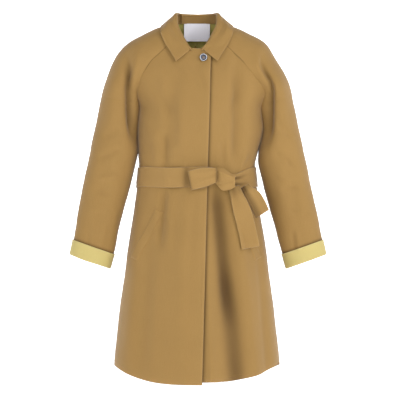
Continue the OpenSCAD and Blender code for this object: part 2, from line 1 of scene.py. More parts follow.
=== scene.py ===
"""Belted raglan car coat: its visible cloth, trims and stage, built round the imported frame."""
import json
import logging
import math
from dataclasses import dataclass
from enum import Enum
from typing import Callable, Sequence

import bmesh
import bpy
import numpy as np
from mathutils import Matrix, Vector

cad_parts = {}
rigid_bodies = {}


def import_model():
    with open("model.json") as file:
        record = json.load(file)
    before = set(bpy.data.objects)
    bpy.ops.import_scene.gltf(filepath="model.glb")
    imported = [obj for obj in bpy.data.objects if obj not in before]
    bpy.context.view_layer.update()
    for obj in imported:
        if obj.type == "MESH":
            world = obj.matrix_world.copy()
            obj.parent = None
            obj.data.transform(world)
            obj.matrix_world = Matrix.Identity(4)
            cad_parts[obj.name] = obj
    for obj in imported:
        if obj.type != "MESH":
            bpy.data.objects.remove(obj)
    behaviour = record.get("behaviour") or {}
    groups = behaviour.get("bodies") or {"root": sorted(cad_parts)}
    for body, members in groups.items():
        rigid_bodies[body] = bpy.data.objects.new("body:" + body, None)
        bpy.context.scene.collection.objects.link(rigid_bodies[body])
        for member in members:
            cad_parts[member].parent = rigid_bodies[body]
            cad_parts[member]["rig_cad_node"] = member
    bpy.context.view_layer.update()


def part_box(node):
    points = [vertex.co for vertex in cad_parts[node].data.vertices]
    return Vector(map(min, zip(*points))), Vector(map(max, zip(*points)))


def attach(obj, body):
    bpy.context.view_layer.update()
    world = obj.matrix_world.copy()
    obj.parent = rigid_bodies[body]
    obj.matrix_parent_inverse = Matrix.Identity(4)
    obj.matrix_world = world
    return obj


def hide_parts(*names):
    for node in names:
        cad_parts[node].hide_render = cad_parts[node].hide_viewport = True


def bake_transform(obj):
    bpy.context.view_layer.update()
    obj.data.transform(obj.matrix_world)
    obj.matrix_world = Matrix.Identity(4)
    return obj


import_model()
LOG = logging.getLogger("coat")
MM = 0.001
SIDE_POWER = 2.2
RING_POWER = 0.94
ROW_EASE = 1.15
WAIST = -397.0
Array = np.ndarray


class Side(Enum):
    """The wearer's sides; the value is the sign of X there."""

    RIGHT = -1.0
    LEFT = 1.0


class Face(Enum):
    """Front or back of the body; the value is the sign of Y there."""

    FRONT = -1.0
    BACK = 1.0


# ---------------------------------------------------------------- shape helpers


def smooth(t: Array) -> Array:
    """Smooth step: 3t^2 - 2t^3 between 0 and 1, held outside.

    Args:
        t: values of any shape.

    Returns:
        The eased values, from 0 to 1.
    """
    c = np.clip(t, 0.0, 1.0)
    return c * c * (3.0 - 2.0 * c)


def mix(a: Array, b: Array, t: Array) -> Array:
    """Straight blend of a and b, a at 0 and b at 1."""
    return a + (b - a) * t


def spow(v: Array, p: float) -> Array:
    """Power p of the size of v, with the sign of v kept."""
    return np.sign(v) * np.abs(v) ** p


def curve(xs: Sequence[float], ys: Sequence[float]) -> Callable[[Array], Array]:
    """Monotone cubic curve through points, flat outside them.

    Each stretch is a cubic Hermite whose slopes are the harmonic means of its neighbours' slopes.

    Args:
        xs: rising positions.
        ys: values there.

    Returns:
        A function that evaluates the curve on arrays.
    """
    x, y = np.asarray(xs, float), np.asarray(ys, float)
    h = np.diff(x)
    s = np.diff(y) / h
    m = np.zeros_like(y)
    same = s[:-1] * s[1:] > 0
    m[1:-1] = np.where(same, 2 * s[:-1] * s[1:] / np.where(same, s[:-1] + s[1:], 1), 0)
    m[0], m[-1] = s[0], s[-1]

    def value(q: Array) -> Array:
        """The curve's values at q."""
        q = np.clip(np.asarray(q, float), x[0], x[-1])
        i = np.clip(np.searchsorted(x, q, side="right") - 1, 0, len(h) - 1)
        t = (q - x[i]) / h[i]
        a = (1 + 2 * t) * (1 - t) ** 2 * y[i] + t * (1 - t) ** 2 * h[i] * m[i]
        return a + t * t * (3 - 2 * t) * y[i + 1] + t * t * (t - 1) * h[i] * m[i + 1]

    return value


def through(points: Sequence[tuple[float, float]]) -> Callable[[Array], Array]:
    """Curve through (position, value) points, put in rising order first."""
    rows = sorted(points)
    return curve([p[0] for p in rows], [p[1] for p in rows])


def lo(node: str) -> Array:
    """Lowest corner of a CAD node's box."""
    return np.array(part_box(node)[0], float)


def hi(node: str) -> Array:
    """Highest corner of a CAD node's box."""
    return np.array(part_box(node)[1], float)


@dataclass(frozen=True)
class Fold:
    """A soft crease or ridge in the cloth, along a line in the front view.

    Attributes:
        start: (x, z) of one end, in mm.
        end: (x, z) of the other end, in mm.
        width: half width of the fold in mm.
        depth: how far it stands out in mm, negative for a valley.
        bow: sideways bend of the line in mm.
        sharp: 0 for a round fold, up to 1 for a one-sided one.
    """

    start: tuple[float, float]
    end: tuple[float, float]
    width: float
    depth: float
    bow: float = 0.0
    sharp: float = 0.0

    def height(self, x: Array, z: Array) -> Array:
        """Height of the fold at points of the front view.

        It is a Gaussian across the line, faded by a sine-like hump along it.

        Args:
            x, z: positions in metres.

        Returns:
            The displacement in metres, outwards.
        """
        p, q = np.array(self.start) * MM, np.array(self.end) * MM
        d = q - p
        length = float(np.hypot(*d))
        d = d / length
        t = ((x - p[0]) * d[0] + (z - p[1]) * d[1]) / length
        across = (x - p[0]) * -d[1] + (z - p[1]) * d[0] - self.bow * MM * 4 * t * (1 - t)
        w = self.width * MM
        skew = 1 + self.sharp * np.tanh(across / w)
        ridge = np.exp(-((across / (w * skew.clip(0.25))) ** 2))
        along = smooth(t / 0.3) * smooth((1 - t) / 0.3)
        return self.depth * MM * ridge * along


def relief(folds: Sequence[Fold], x: Array, z: Array) -> Array:
    """Sum of the heights of several folds."""
    return sum((f.height(x, z) for f in folds), np.zeros_like(x))


def ripple(x: Array, z: Array, size: float, seed: float) -> Array:
    """Slow uneven waves, from -1 to 1: a sum of five sines with turned directions.

    Args:
        x, z: positions in metres.
        size: typical length of a wave in metres.
        seed: shifts the pattern.

    Returns:
        The wave heights.
    """
    total = np.zeros_like(x)
    for k in range(5):
        turn = seed * 1.7 + k * 2.4
        f = 2 * math.pi / size * (0.6 + 0.23 * k)
        total = total + np.sin(f * (x * math.cos(turn) + z * math.sin(turn)) + seed * 5 + k * 1.9)
    return total / 5


# ---------------------------------------------------------------- meshes


def grid_faces(rows: int, cols: int, wrap: bool, flip: bool) -> Array:
    """Quads of a grid of rows x cols points, wrapped round in columns if asked."""
    i, j = np.meshgrid(np.arange(rows - 1), np.arange(cols if wrap else cols - 1), indexing="ij")
    k = (j + 1) % cols
    quads = np.stack([i * cols + j, (i + 1) * cols + j, (i + 1) * cols + k, i * cols + k], -1)
    quads = quads.reshape(-1, 4)
    return quads[:, ::-1] if flip else quads


def rim_mask(rows: int, cols: int, top: float, bottom: float, left: float, right: float) -> Array:
    """Mask that is 1 on the chosen edges of a grid and falls off over a few points.

    Args:
        rows, cols: size of the grid.
        top, bottom, left, right: strength of each edge, 0 to 1.

    Returns:
        The mask, shape (rows, cols).
    """
    i = np.arange(rows)[:, None].astype(float)
    j = np.arange(cols)[None, :].astype(float)
    parts = [top * np.exp(-i / 1.6), bottom * np.exp(-(rows - 1 - i) / 1.6),
             left * np.exp(-j / 1.6), right * np.exp(-(cols - 1 - j) / 1.6)]
    return np.clip(sum(np.broadcast_to(p, (rows, cols)) for p in parts), 0, 1)


# ---------------------------------------------------------------- node groups and finishes


def srgb(r: float, g: float, b: float) -> tuple[float, float, float, float]:
    """Linear RGBA of an sRGB colour given from 0 to 255."""
    c = np.array([r, g, b]) / 255.0
    lin = np.where(c <= 0.04045, c / 12.92, ((c + 0.055) / 1.055) ** 2.4)
    return (float(lin[0]), float(lin[1]), float(lin[2]), 1.0)


class Group:
    """A shader node group with named inputs and outputs."""

    def __init__(self, name: str, inputs: dict[str, tuple[str, object]],
                 outputs: dict[str, str]) -> None:
        """Makes the empty group.

        Args:
            name: group name.
            inputs: input name to (socket type, default value).
            outputs: output name to socket type.
        """
        self.tree = bpy.data.node_groups.new(name, "ShaderNodeTree")
        for key, (kind, value) in inputs.items():
            sock = self.tree.interface.new_socket(key, in_out="INPUT", socket_type=kind)
            if value is not None:
                sock.default_value = value
        for key, kind in outputs.items():
            self.tree.interface.new_socket(key, in_out="OUTPUT", socket_type=kind)
        self.source = self.tree.nodes.new("NodeGroupInput")
        self.sink = self.tree.nodes.new("NodeGroupOutput")

    def node(self, kind: str, **values: object) -> bpy.types.Node:
        """Adds a node to the group, with its properties and inputs set.

        Args:
            kind: bpy node type.
            values: properties by name, and inputs as add_node takes them.

        Returns:
            The node.
        """
        return add_node(self.tree, kind, **values)


def add_node(tree: bpy.types.NodeTree, kind: str, **values: object) -> bpy.types.Node:
    """Adds a node, sets its properties, and fills or links its inputs.

    Args:
        tree: the node tree.
        kind: bpy node type.
        values: a property by its name; an input as i0, i1... by number or i_Name by name.

    Returns:
        The node.
    """
    n = tree.nodes.new(kind)
    for key, value in values.items():
        if key[0] == "i" and (key[1:].isdigit() or key[1] == "_"):
            sock = n.inputs[int(key[1:])] if key[1:].isdigit() else n.inputs[key[2:].replace("_", " ")]
            if isinstance(value, bpy.types.NodeSocket):
                tree.links.new(value, sock)
            else:
                sock.default_value = value
        else:
            setattr(n, key, value)
    return n


def maths(tree: bpy.types.NodeTree, op: str, a: object, b: object = 0.0,
          clamp: bool = False) -> bpy.types.NodeSocket:
    """Output of a Math node on two values or sockets."""
    return add_node(tree, "ShaderNodeMath", operation=op, use_clamp=clamp, i0=a, i1=b).outputs[0]


def blend_colour(tree: bpy.types.NodeTree, factor: object, a: object, b: object,
                 mode: str = "MIX") -> bpy.types.NodeSocket:
    """Output colour of a Mix node."""
    n = add_node(tree, "ShaderNodeMix", data_type="RGBA", blend_type=mode)
    for sock, value in ((n.inputs[0], factor), (n.inputs[6], a), (n.inputs[7], b)):
        if isinstance(value, bpy.types.NodeSocket):
            tree.links.new(value, sock)
        else:
            sock.default_value = value
    return n.outputs[2]


def empty_material(name: str) -> bpy.types.Material:
    """A new material with an empty node tree."""
    mat = bpy.data.materials.new(name)
    mat.use_nodes = True
    mat.node_tree.nodes.clear()
    return mat


def surface(tree: bpy.types.NodeTree, base: bpy.types.NodeSocket, rough: bpy.types.NodeSocket,
            normal: bpy.types.NodeSocket) -> bpy.types.Node:
    """Adds a Principled shader and the material's output.

    Args:
        tree: the material's node tree.
        base, rough, normal: what feeds its colour, roughness and normal.

    Returns:
        The shader, whose constants are set on its own sockets.
    """
    shader = add_node(tree, "ShaderNodeBsdfPrincipled")
    for key, socket in (("Base Color", base), ("Roughness", rough), ("Normal", normal)):
        tree.links.new(socket, shader.inputs[key])
    out = tree.nodes.new("ShaderNodeOutputMaterial")
    tree.links.new(shader.outputs[0], out.inputs[0])
    return shader


def weave_group() -> bpy.types.NodeTree:
    """Twill weave: diagonal ribs crossed by fine threads, on the cloth's own UV in metres.

    Height is a sine along the diagonal times a sine across the threads; Tone is its lighter mask.
    """
    g = Group("twill_weave", {"UV": ("NodeSocketVector", None), "Pitch": ("NodeSocketFloat", 0.001),
                              "Unevenness": ("NodeSocketFloat", 0.3)},
              {"Height": "NodeSocketFloat", "Tone": "NodeSocketFloat"})
    t = g.tree
    uv = g.source.outputs["UV"]
    noise = g.node("ShaderNodeTexNoise", i_Vector=uv, i_Scale=420.0, i_Detail=2.0)
    sep = g.node("ShaderNodeSeparateXYZ", i0=uv)
    freq = maths(t, "DIVIDE", 2 * math.pi, g.source.outputs["Pitch"])
    wobble = maths(t, "MULTIPLY", noise.outputs[0], maths(t, "MULTIPLY", g.source.outputs["Unevenness"], 6.0))
    diag = maths(t, "ADD", sep.outputs[0], maths(t, "MULTIPLY", sep.outputs[1], 0.62))
    rib = maths(t, "SINE", maths(t, "ADD", maths(t, "MULTIPLY", diag, freq), wobble))
    thread = maths(t, "SINE", maths(t, "MULTIPLY", maths(t, "MULTIPLY", sep.outputs[1], freq), 1.9))
    both = maths(t, "ADD", maths(t, "MULTIPLY", rib, 0.7), maths(t, "MULTIPLY", thread, 0.3))
    height = maths(t, "ADD", maths(t, "MULTIPLY", both, 0.5), 0.5, True)
    t.links.new(height, g.sink.inputs["Height"])
    tone = maths(t, "ADD", maths(t, "MULTIPLY", both, 0.35), maths(t, "MULTIPLY", noise.outputs[0], 0.65), True)
    t.links.new(tone, g.sink.inputs["Tone"])
    return t


def mottle_group() -> bpy.types.NodeTree:
    """Slow unevenness of dyed cloth: large soft clouds, streaks along the warp, and small slubs."""
    g = Group("dye_mottle", {"UV": ("NodeSocketVector", None), "Object": ("NodeSocketVector", None)},
              {"Cloud": "NodeSocketFloat", "Slub": "NodeSocketFloat", "Crumple": "NodeSocketFloat"})
    t = g.tree
    cloud = g.node("ShaderNodeTexNoise", i_Vector=g.source.outputs["Object"], i_Scale=9.0, i_Detail=3.0,
                   i_Roughness=0.55)
    squash = g.node("ShaderNodeMapping", i0=g.source.outputs["UV"], i3=(900.0, 36.0, 1.0))
    slub = g.node("ShaderNodeTexNoise", i_Vector=squash.outputs[0], i_Scale=1.0, i_Detail=2.0)
    crumple = g.node("ShaderNodeTexNoise", i_Vector=g.source.outputs["Object"], i_Scale=38.0, i_Detail=4.0,
                     i_Roughness=0.6, i_Distortion=0.6)
    t.links.new(cloud.outputs[0], g.sink.inputs["Cloud"])
    t.links.new(slub.outputs[0], g.sink.inputs["Slub"])
    t.links.new(crumple.outputs[0], g.sink.inputs["Crumple"])
    return t


def wear_group() -> bpy.types.NodeTree:
    """Pressed and rubbed edges: the cloth's pressed mask broken up by noise."""
    g = Group("edge_wear", {"Mask": ("NodeSocketFloat", 0.0), "Object": ("NodeSocketVector", None),
                            "Amount": ("NodeSocketFloat", 0.5)}, {"Wear": "NodeSocketFloat"})
    t = g.tree
    noise = g.node("ShaderNodeTexNoise", i_Vector=g.source.outputs["Object"], i_Scale=160.0, i_Detail=3.0)
    broken = maths(t, "MULTIPLY", g.source.outputs["Mask"], maths(t, "ADD", noise.outputs[0], 0.35))
    wear = maths(t, "MULTIPLY", broken, g.source.outputs["Amount"], True)
    t.links.new(wear, g.sink.inputs["Wear"])
    return t


class Groups:
    """The node groups that the finishes share, each made once."""

    weave: bpy.types.NodeTree
    mottle: bpy.types.NodeTree
    wear: bpy.types.NodeTree

    @classmethod
    def build(cls) -> None:
        """Makes the shared groups."""
        cls.weave = weave_group()
        cls.mottle = mottle_group()
        cls.wear = wear_group()


@dataclass(frozen=True)
class ClothFinish:
    """Finish of a woven cloth.

    Attributes:
        name: material name.
        colour: sRGB colour of the cloth.
        shade: sRGB colour of its darker yarns.
        worn: sRGB colour of its pressed and rubbed edges.
        pitch: distance between twill ribs in metres.
        roughness: base roughness.
        sheen: strength of the soft sheen.
        bump: height of the weave in metres.
        gloss: specular level.
        deep: tint factors of the painted shade: how much darker the cloth is painted inside a fold.
    """

    name: str
    colour: tuple[float, float, float]
    shade: tuple[float, float, float]
    worn: tuple[float, float, float]
    deep: tuple[float, float, float] = (0.56, 0.50, 0.38)
    pitch: float = 0.0011
    roughness: float = 0.78
    sheen: float = 0.18
    bump: float = 0.00006
    gloss: float = 0.25

    def build(self) -> bpy.types.Material:
        """Makes the material.

        Returns:
            A Principled material whose colour, roughness and bump come from the shared groups, with painted shade
            from the hollow attribute.
        """
        mat = empty_material(self.name)
        t = mat.node_tree
        coord = t.nodes.new("ShaderNodeTexCoord")
        uv = add_node(t, "ShaderNodeUVMap", uv_map="UVMap")
        pressed = add_node(t, "ShaderNodeAttribute", attribute_name="pressed")
        weave = add_node(t, "ShaderNodeGroup", node_tree=Groups.weave)
        t.links.new(uv.outputs[0], weave.inputs["UV"])
        weave.inputs["Pitch"].default_value = self.pitch
        mottle = add_node(t, "ShaderNodeGroup", node_tree=Groups.mottle)
        t.links.new(uv.outputs[0], mottle.inputs["UV"])
        t.links.new(coord.outputs["Object"], mottle.inputs["Object"])
        wear = add_node(t, "ShaderNodeGroup", node_tree=Groups.wear)
        t.links.new(pressed.outputs["Fac"], wear.inputs["Mask"])
        t.links.new(coord.outputs["Object"], wear.inputs["Object"])
        wear.inputs["Amount"].default_value = 0.28
        tone = maths(t, "ADD", maths(t, "MULTIPLY", weave.outputs["Tone"], 0.45),
                     maths(t, "MULTIPLY", mottle.outputs["Slub"], 0.35))
        tone = maths(t, "ADD", tone, maths(t, "MULTIPLY", mottle.outputs["Cloud"], 0.35), True)
        base = blend_colour(t, tone, srgb(*self.shade), srgb(*self.colour))
        base = blend_colour(t, wear.outputs["Wear"], base, srgb(*self.worn))
        # Painted shade: the colour is blended towards a darker tint where the hollow attribute is high, in fold
        # valleys and other spots that lie in shade.
        hollow = add_node(t, "ShaderNodeAttribute", attribute_name="hollow")
        painted_shade_colour = srgb(*(c * k for c, k in zip(self.shade, self.deep)))
        base = blend_colour(t, maths(t, "MULTIPLY", hollow.outputs["Fac"], 0.9, True), base, painted_shade_colour)
        rough = maths(t, "ADD", maths(t, "MULTIPLY", mottle.outputs["Cloud"], 0.12), self.roughness - 0.06, True)
        fine = add_node(t, "ShaderNodeBump", i_Strength=0.55, i_Distance=self.bump)
        t.links.new(weave.outputs["Height"], fine.inputs["Height"])
        soft = add_node(t, "ShaderNodeBump", i_Strength=0.35, i_Distance=0.0012)
        t.links.new(mottle.outputs["Crumple"], soft.inputs["Height"])
        t.links.new(fine.outputs[0], soft.inputs["Normal"])
        shader = surface(t, base, rough, soft.outputs[0])
        shader.inputs["Specular IOR Level"].default_value = self.gloss
        shader.inputs["Sheen Weight"].default_value = self.sheen
        shader.inputs["Sheen Roughness"].default_value = 0.45
        return mat


@dataclass(frozen=True)
class ButtonFinish:
    """Finish of a polished button: swirled deep colour under a gloss coat.

    Attributes:
        name: material name.
        colour: sRGB colour.
        swirl: sRGB colour of the lighter swirls.
        roughness: base roughness.
    """

    name: str
    colour: tuple[float, float, float]
    swirl: tuple[float, float, float]
    roughness: float = 0.22

    def build(self) -> bpy.types.Material:
        """Makes the material.

        Returns:
            A Principled material with a noise swirl and faint scratches.
        """
        mat = empty_material(self.name)
        t = mat.node_tree
        coord = t.nodes.new("ShaderNodeTexCoord")
        noise = add_node(t, "ShaderNodeTexNoise", i_Scale=260.0, i_Detail=4.0, i_Distortion=1.8)
        t.links.new(coord.outputs["Object"], noise.inputs["Vector"])
        scratch = add_node(t, "ShaderNodeTexNoise", i_Scale=1900.0, i_Detail=2.0)
        t.links.new(coord.outputs["Object"], scratch.inputs["Vector"])
        base = blend_colour(t, noise.outputs[0], srgb(*self.colour), srgb(*self.swirl))
        rough = maths(t, "ADD", maths(t, "MULTIPLY", scratch.outputs[0], 0.18), self.roughness - 0.06, True)
        bump = add_node(t, "ShaderNodeBump", i_Strength=0.15, i_Distance=0.0001)
        t.links.new(scratch.outputs[0], bump.inputs["Height"])
        surface(t, base, rough, bump.outputs[0]).inputs["Coat Weight"].default_value = 0.5
        return mat


CAMEL = ClothFinish("camel_gabardine", (153, 120, 69), (130, 100, 51), (166, 133, 82))
CAMEL_INSIDE = ClothFinish("camel_facing", (147, 115, 67), (127, 98, 52), (157, 125, 77), sheen=0.1)
BELT = ClothFinish("camel_belt", (157, 124, 72), (135, 104, 56), (168, 136, 85))
GREEN = ClothFinish("olive_lining", (198, 186, 104), (172, 160, 82), (206, 194, 120), pitch=0.0007,
                    roughness=0.5, sheen=0.3, bump=0.00003, gloss=0.4)
YELLOW = ClothFinish("pale_cuff", (189, 173, 111), (175, 158, 96), (200, 187, 133), roughness=0.72)
LABEL = ClothFinish("satin_label", (240, 238, 246), (226, 224, 234), (246, 245, 250), pitch=0.0005,
                    roughness=0.42, sheen=0.1, bump=0.00002, gloss=0.5)
THREAD = ClothFinish("camel_thread", (156, 122, 74), (132, 101, 56), (168, 135, 86), pitch=0.0006)
LABEL_THREAD = ClothFinish("label_thread", (178, 196, 150), (150, 172, 128), (190, 206, 164), pitch=0.0006)
TACK = ClothFinish("green_tack", (92, 120, 70), (70, 96, 52), (110, 138, 88), pitch=0.0006)
NAVY = ButtonFinish("navy_button", (16, 20, 34), (40, 48, 74))
PALE_RIM = ButtonFinish("pale_button_rim", (196, 200, 206), (226, 228, 232), 0.3)


class Wardrobe:
    """Every finish of the coat, built once and handed to the pieces by name."""

    def __init__(self) -> None:
        """Builds the shared groups and all the materials."""
        Groups.build()
        finishes = [CAMEL, CAMEL_INSIDE, BELT, GREEN, YELLOW, LABEL, THREAD, LABEL_THREAD, TACK, NAVY, PALE_RIM]
        self.made = {f.name: f.build() for f in finishes}

    def dress(self, obj: bpy.types.Object, finishes: Sequence[ClothFinish | ButtonFinish]) -> None:
        """Puts finishes on a piece and logs its point count and first finish.

        Args:
            obj: the piece.
            finishes: its finishes, in the order of its material indices.
        """
        obj.data.materials.clear()
        for finish in finishes:
            obj.data.materials.append(self.made[finish.name])
        LOG.info("%s: %d points, %s", obj.name, len(obj.data.vertices), finishes[0].name)


# ---------------------------------------------------------------- the body's outline


@dataclass(frozen=True)
class Outline:
    """Half widths and depths of the coat at each height, in mm, as smooth curves.

    Attributes:
        half_width: (z, half width) pairs.
        front: (z, half depth of the front) pairs.
        back: (z, half depth of the back) pairs.
        hem_rise: how much higher the hem is at the side seams.
    """

    half_width: tuple[tuple[float, float], ...] = (
        (-935, 217), (-889, 215), (-612, 183), (-422, 155), (-372, 150), (-330, 153), (-274, 154.5), (-220, 151),
        (-170, 172), (-106, 194), (-55, 178), (-32, 150), (-13, 118), (-5, 100), (8, 84))
    front: tuple[tuple[float, float], ...] = (
        (-935, 150), (-612, 126), (-422, 101), (-372, 99), (-274, 113), (-220, 112), (-180, 105),
        (-130, 92), (-96, 79), (-66, 67), (-32, 58), (-5, 52), (8, 49))
    back: tuple[tuple[float, float], ...] = (
        (-935, 150), (-612, 129), (-422, 102), (-372, 99), (-274, 113), (-220, 114), (-130, 107),
        (-96, 100), (-66, 90), (-32, 77), (-5, 64), (8, 58))
    hem_rise: float = 46.0

    def w(self, z: Array) -> Array:
        """Half width at heights z."""
        return through(self.half_width)(z)

    def d(self, z: Array, face: Face) -> Array:
        """Half depth at heights z on one face."""
        return through(self.front if face is Face.FRONT else self.back)(z)

    def angle(self, x: Array, z: Array) -> Array:
        """Angle round the outline of distance x from the middle: 0 at the left side, pi at the right."""
        r = np.clip(np.abs(x) / self.w(z), 0, 1)
        a = np.arccos(r ** (SIDE_POWER / 2))
        return np.where(x >= 0, a, math.pi - a)

    def at(self, a: Array, z: Array, face: Face, offset: Array | float = 0.0) -> Array:
        """Point at angle a and height z, offset outwards, in mm.

        x = w cos(a)^(2/n) and y = -+d sin(a)^(2/n), a superellipse of power n.
        """
        w, d = self.w(z) + offset, self.d(z, face) + offset
        c, s = np.cos(a), np.sin(a)
        x = w * spow(c, 2 / SIDE_POWER)
        y = face.value * d * np.abs(s) ** (2 / SIDE_POWER)
        return np.stack(np.broadcast_arrays(x, y, z), -1)

    def y(self, x: Array, z: Array, face: Face, offset: float = 0.0) -> Array:
        """Y of the surface at distance x and height z, offset outwards."""
        r = np.clip(np.abs(x) / (self.w(z) + offset), 0, 0.999)
        return face.value * (self.d(z, face) + offset) * (1 - r ** SIDE_POWER) ** (1 / SIDE_POWER)


BODY = Outline()


def over_edge_x(z: Array) -> Array:
    """Distance of the over panel's front edge past the middle, at heights z."""
    return mix(36.0, 13.0, np.clip((-66 - z) / 869, 0, 1))


def neck_edge_x(z: Array) -> Array:
    """Half width of the neck hole at heights z: a superellipse quarter."""
    t = np.clip((1.5 - z) / 67.5, 0, 1)
    return 68.0 * (1 - t ** 1.8) ** (1 / 1.8)


@dataclass(frozen=True)
class Drape:
    """The folds of the hanging cloth, in mm in the front view, for both faces and every layer.

    Attributes:
        front: folds of the front panels.
        back: folds of the back panels.
        sleeves: folds of both sleeves.
        wave: height of the slow unevenness.
    """

    front: tuple[Fold, ...] = (
        Fold((101, -60), (97, -410), 13, -9.0, bow=4), Fold((124, -80), (120, -400), 14, 4.0, bow=4),
        Fold((44, -340), (88, -800), 21, -20.0), Fold((80, -590), (134, -1240), 33, -18.0),
        Fold((98, -396), (180, -1160), 20, 10.0, bow=-8), Fold((24, -560), (46, -1060), 11, 5.0),
        Fold((156, -520), (190, -990), 12, -5.0),
        Fold((-84, -270), (-82, -392), 8, -6.0), Fold((-106, -260), (-104, -392), 10, 3.0),
        Fold((-60, -300), (-58, -392), 10, 3.0),
        Fold((-82, -396), (-100, -600), 9, -7.0), Fold((-62, -400), (-76, -620), 10, 4.0),
        Fold((66, -290), (72, -392), 9, -5.0), Fold((128, -330), (104, -388), 7, 5.0),
        Fold((-40, -415), (-58, -990), 26, 5.0), Fold((-110, -430), (-150, -990), 20, -5.0),
        Fold((-140, -430), (-186, -960), 16, 4.0), Fold((-5, -415), (-20, -700), 10, -3.0),
        Fold((-68, -130), (-72, -370), 15, -4.5), Fold((-40, -140), (-42, -372), 12, 3.0),
        Fold((-128, -130), (-60, -250), 13, -3.4), Fold((-146, -200), (-100, -350), 14, 3.0),
        Fold((130, -150), (60, -260), 13, -2.6), Fold((40, -120), (26, -300), 16, 2.2),
        Fold((-30, -88), (30, -180), 12, -2.6), Fold((14, -95), (30, -190), 10, 2.4),
    )
    back: tuple[Fold, ...] = (
        Fold((-70, -400), (-110, -990), 22, -8.0), Fold((60, -400), (96, -990), 24, -8.0),
        Fold((0, -410), (4, -990), 30, 8.0), Fold((-130, -420), (-170, -970), 18, 6.0),
        Fold((126, -420), (170, -970), 18, 6.0), Fold((-40, -250), (-46, -380), 8, -4.0),
        Fold((36, -240), (42, -380), 8, -4.0), Fold((90, -280), (94, -380), 8, 3.0),
        Fold((-96, -280), (-98, -380), 8, 3.0), Fold((-120, -90), (-40, -230), 16, -3.0),
        Fold((120, -90), (40, -230), 16, -3.0), Fold((0, -60), (0, -300), 24, 2.0),
    )
    sleeves: tuple[Fold, ...] = (
        Fold((175, -58), (164, -330), 14, -16.0), Fold((-184, -60), (-160, -330), 12, -18.0, bow=-2),
        Fold((158, -60), (166, -200), 9, 4.0, bow=-4), Fold((-152, -60), (-164, -180), 9, 4.0, bow=4),
        Fold((212, -110), (222, -300), 16, 4.0), Fold((-212, -110), (-224, -300), 16, 3.0),
        Fold((196, -250), (250, -300), 8, -3.5), Fold((-190, -262), (-246, -300), 8, -3.5),
        Fold((190, -330), (262, -372), 9, -4.0), Fold((-182, -318), (-262, -352), 9, -3.5),
        Fold((200, -392), (262, -404), 8, 3.0), Fold((-196, -392), (-262, -402), 8, 3.0),
        Fold((214, -430), (272, -424), 8, -3.0), Fold((-210, -440), (-276, -430), 9, -3.2),
        Fold((236, -300), (262, -540), 14, -3.0), Fold((-232, -320), (-262, -540), 14, -2.6),
        Fold((246, -530), (254, -600), 4, -3.2), Fold((258, -530), (266, -600), 4, 2.6),
        Fold((-284, -520), (-292, -600), 5, -2.4), Fold((-240, -510), (-256, -590), 6, 2.0),
        Fold((228, -480), (296, -500), 7, -2.0), Fold((-224, -470), (-290, -486), 7, 2.0),
    )
    wave: float = 1.1

    def on_body(self, pts: Array, face: Face) -> Array:
        """Heights in mm of the folds at points in mm of a body panel."""
        x, z = pts[..., 0] * MM, pts[..., 2] * MM
        folds = self.front if face is Face.FRONT else self.back
        loose = smooth((-40 - pts[..., 2]) / 80)
        waist = 1 - 0.75 * np.exp(-((pts[..., 2] - WAIST) / 34) ** 2)
        slow = ripple(x, z, 0.16, 1.0 + face.value) * self.wave + ripple(x, z, 0.05, 3.0) * 0.28
        return (relief(folds, x, z) / MM * waist + slow * waist) * loose

    @staticmethod
    def hollow(height: Array, full: float = 26.0) -> Array:
        """How much painted shade points get, from their depth in a fold given by the height of the cloth in mm."""
        return smooth((-height - 1.5) / full)

    def on_sleeve(self, pts: Array, s: Array) -> Array:
        """Heights in mm of the folds at points in mm of a sleeve, s mm along it."""
        x, z = pts[..., 0] * MM, pts[..., 2] * MM
        slow = ripple(x * 1.3 + 0.1 * np.sign(x), z, 0.09, 5.0) * self.wave + ripple(x, z, 0.035, 2.0) * 0.3
        return (relief(self.sleeves, x, z) / MM + slow) * (1 - 0.8 * smooth((s - 470) / 40))


DRAPE = Drape()


# ---------------------------------------------------------------- cloth meshes


def normals_of(pts: Array, out: Array, wrap: bool = False) -> Array:
    """Unit normals of a grid, from the cross product of its two directions, facing out.

    Args:
        pts: grid of points.
        out: rough outward direction at each point.
        wrap: whether the columns close on themselves.

    Returns:
        Unit normals, same shape as pts.
    """
    du = np.roll(pts, -1, 1) - np.roll(pts, 1, 1) if wrap else np.gradient(pts, axis=1)
    dv = np.gradient(pts, axis=0)
    n = np.cross(du, dv)
    size = np.linalg.norm(n, axis=-1, keepdims=True)
    n = n / np.where(size < 1e-12, 1, size)
    sign = np.sign(np.sum(n * out))
    return n * (sign if sign else 1)


def displace(pts: Array, height: Array, out: Array, wrap: bool = False) -> Array:
    """Moves a grid along its normals by a height field."""
    return pts + normals_of(pts, out, wrap) * np.broadcast_to(height, pts.shape[:2])[..., None]


def arc_uv(pts: Array) -> Array:
    """UV map from arc lengths along a grid's rows and columns, in the unit of pts."""
    du = np.linalg.norm(np.diff(pts, axis=1), axis=2)
    dv = np.linalg.norm(np.diff(pts, axis=0), axis=2)
    u = np.concatenate([np.zeros((pts.shape[0], 1)), np.cumsum(du, 1)], 1)
    v = np.concatenate([np.zeros((1, pts.shape[1])), np.cumsum(dv, 0)], 0)
    mid = pts.shape[1] // 2
    return np.stack([u - u[:, mid:mid + 1], -v], -1)


def settle(pts: Array) -> Array:
    """The coat's uneven hang: sideways shifts of every piece that are not the same on both sides.

    Bell-shaped bumps of x and z widen the left chest, drop the left shoulder and turn the right cuff out.
    """
    x, z = pts[..., 0], pts[..., 2]
    chest = 22 * np.exp(-(((x - 166) / 34) ** 2)) * smooth((-95 - z) / 80) * smooth((z + 372) / 110)
    shoulder = -9 * smooth((x - 150) / 50) * np.exp(-(((z + 88) / 40) ** 2))
    forearm = 6 * smooth((-200 - x) / 20) * smooth((-420 - z) / 150) * smooth((z + 760) / 90)
    cuff = -11 * smooth((-258 - x) / 50) * smooth((-592 - z) / 42)
    return np.stack([x + chest + shoulder + forearm + cuff, pts[..., 1], z], -1)


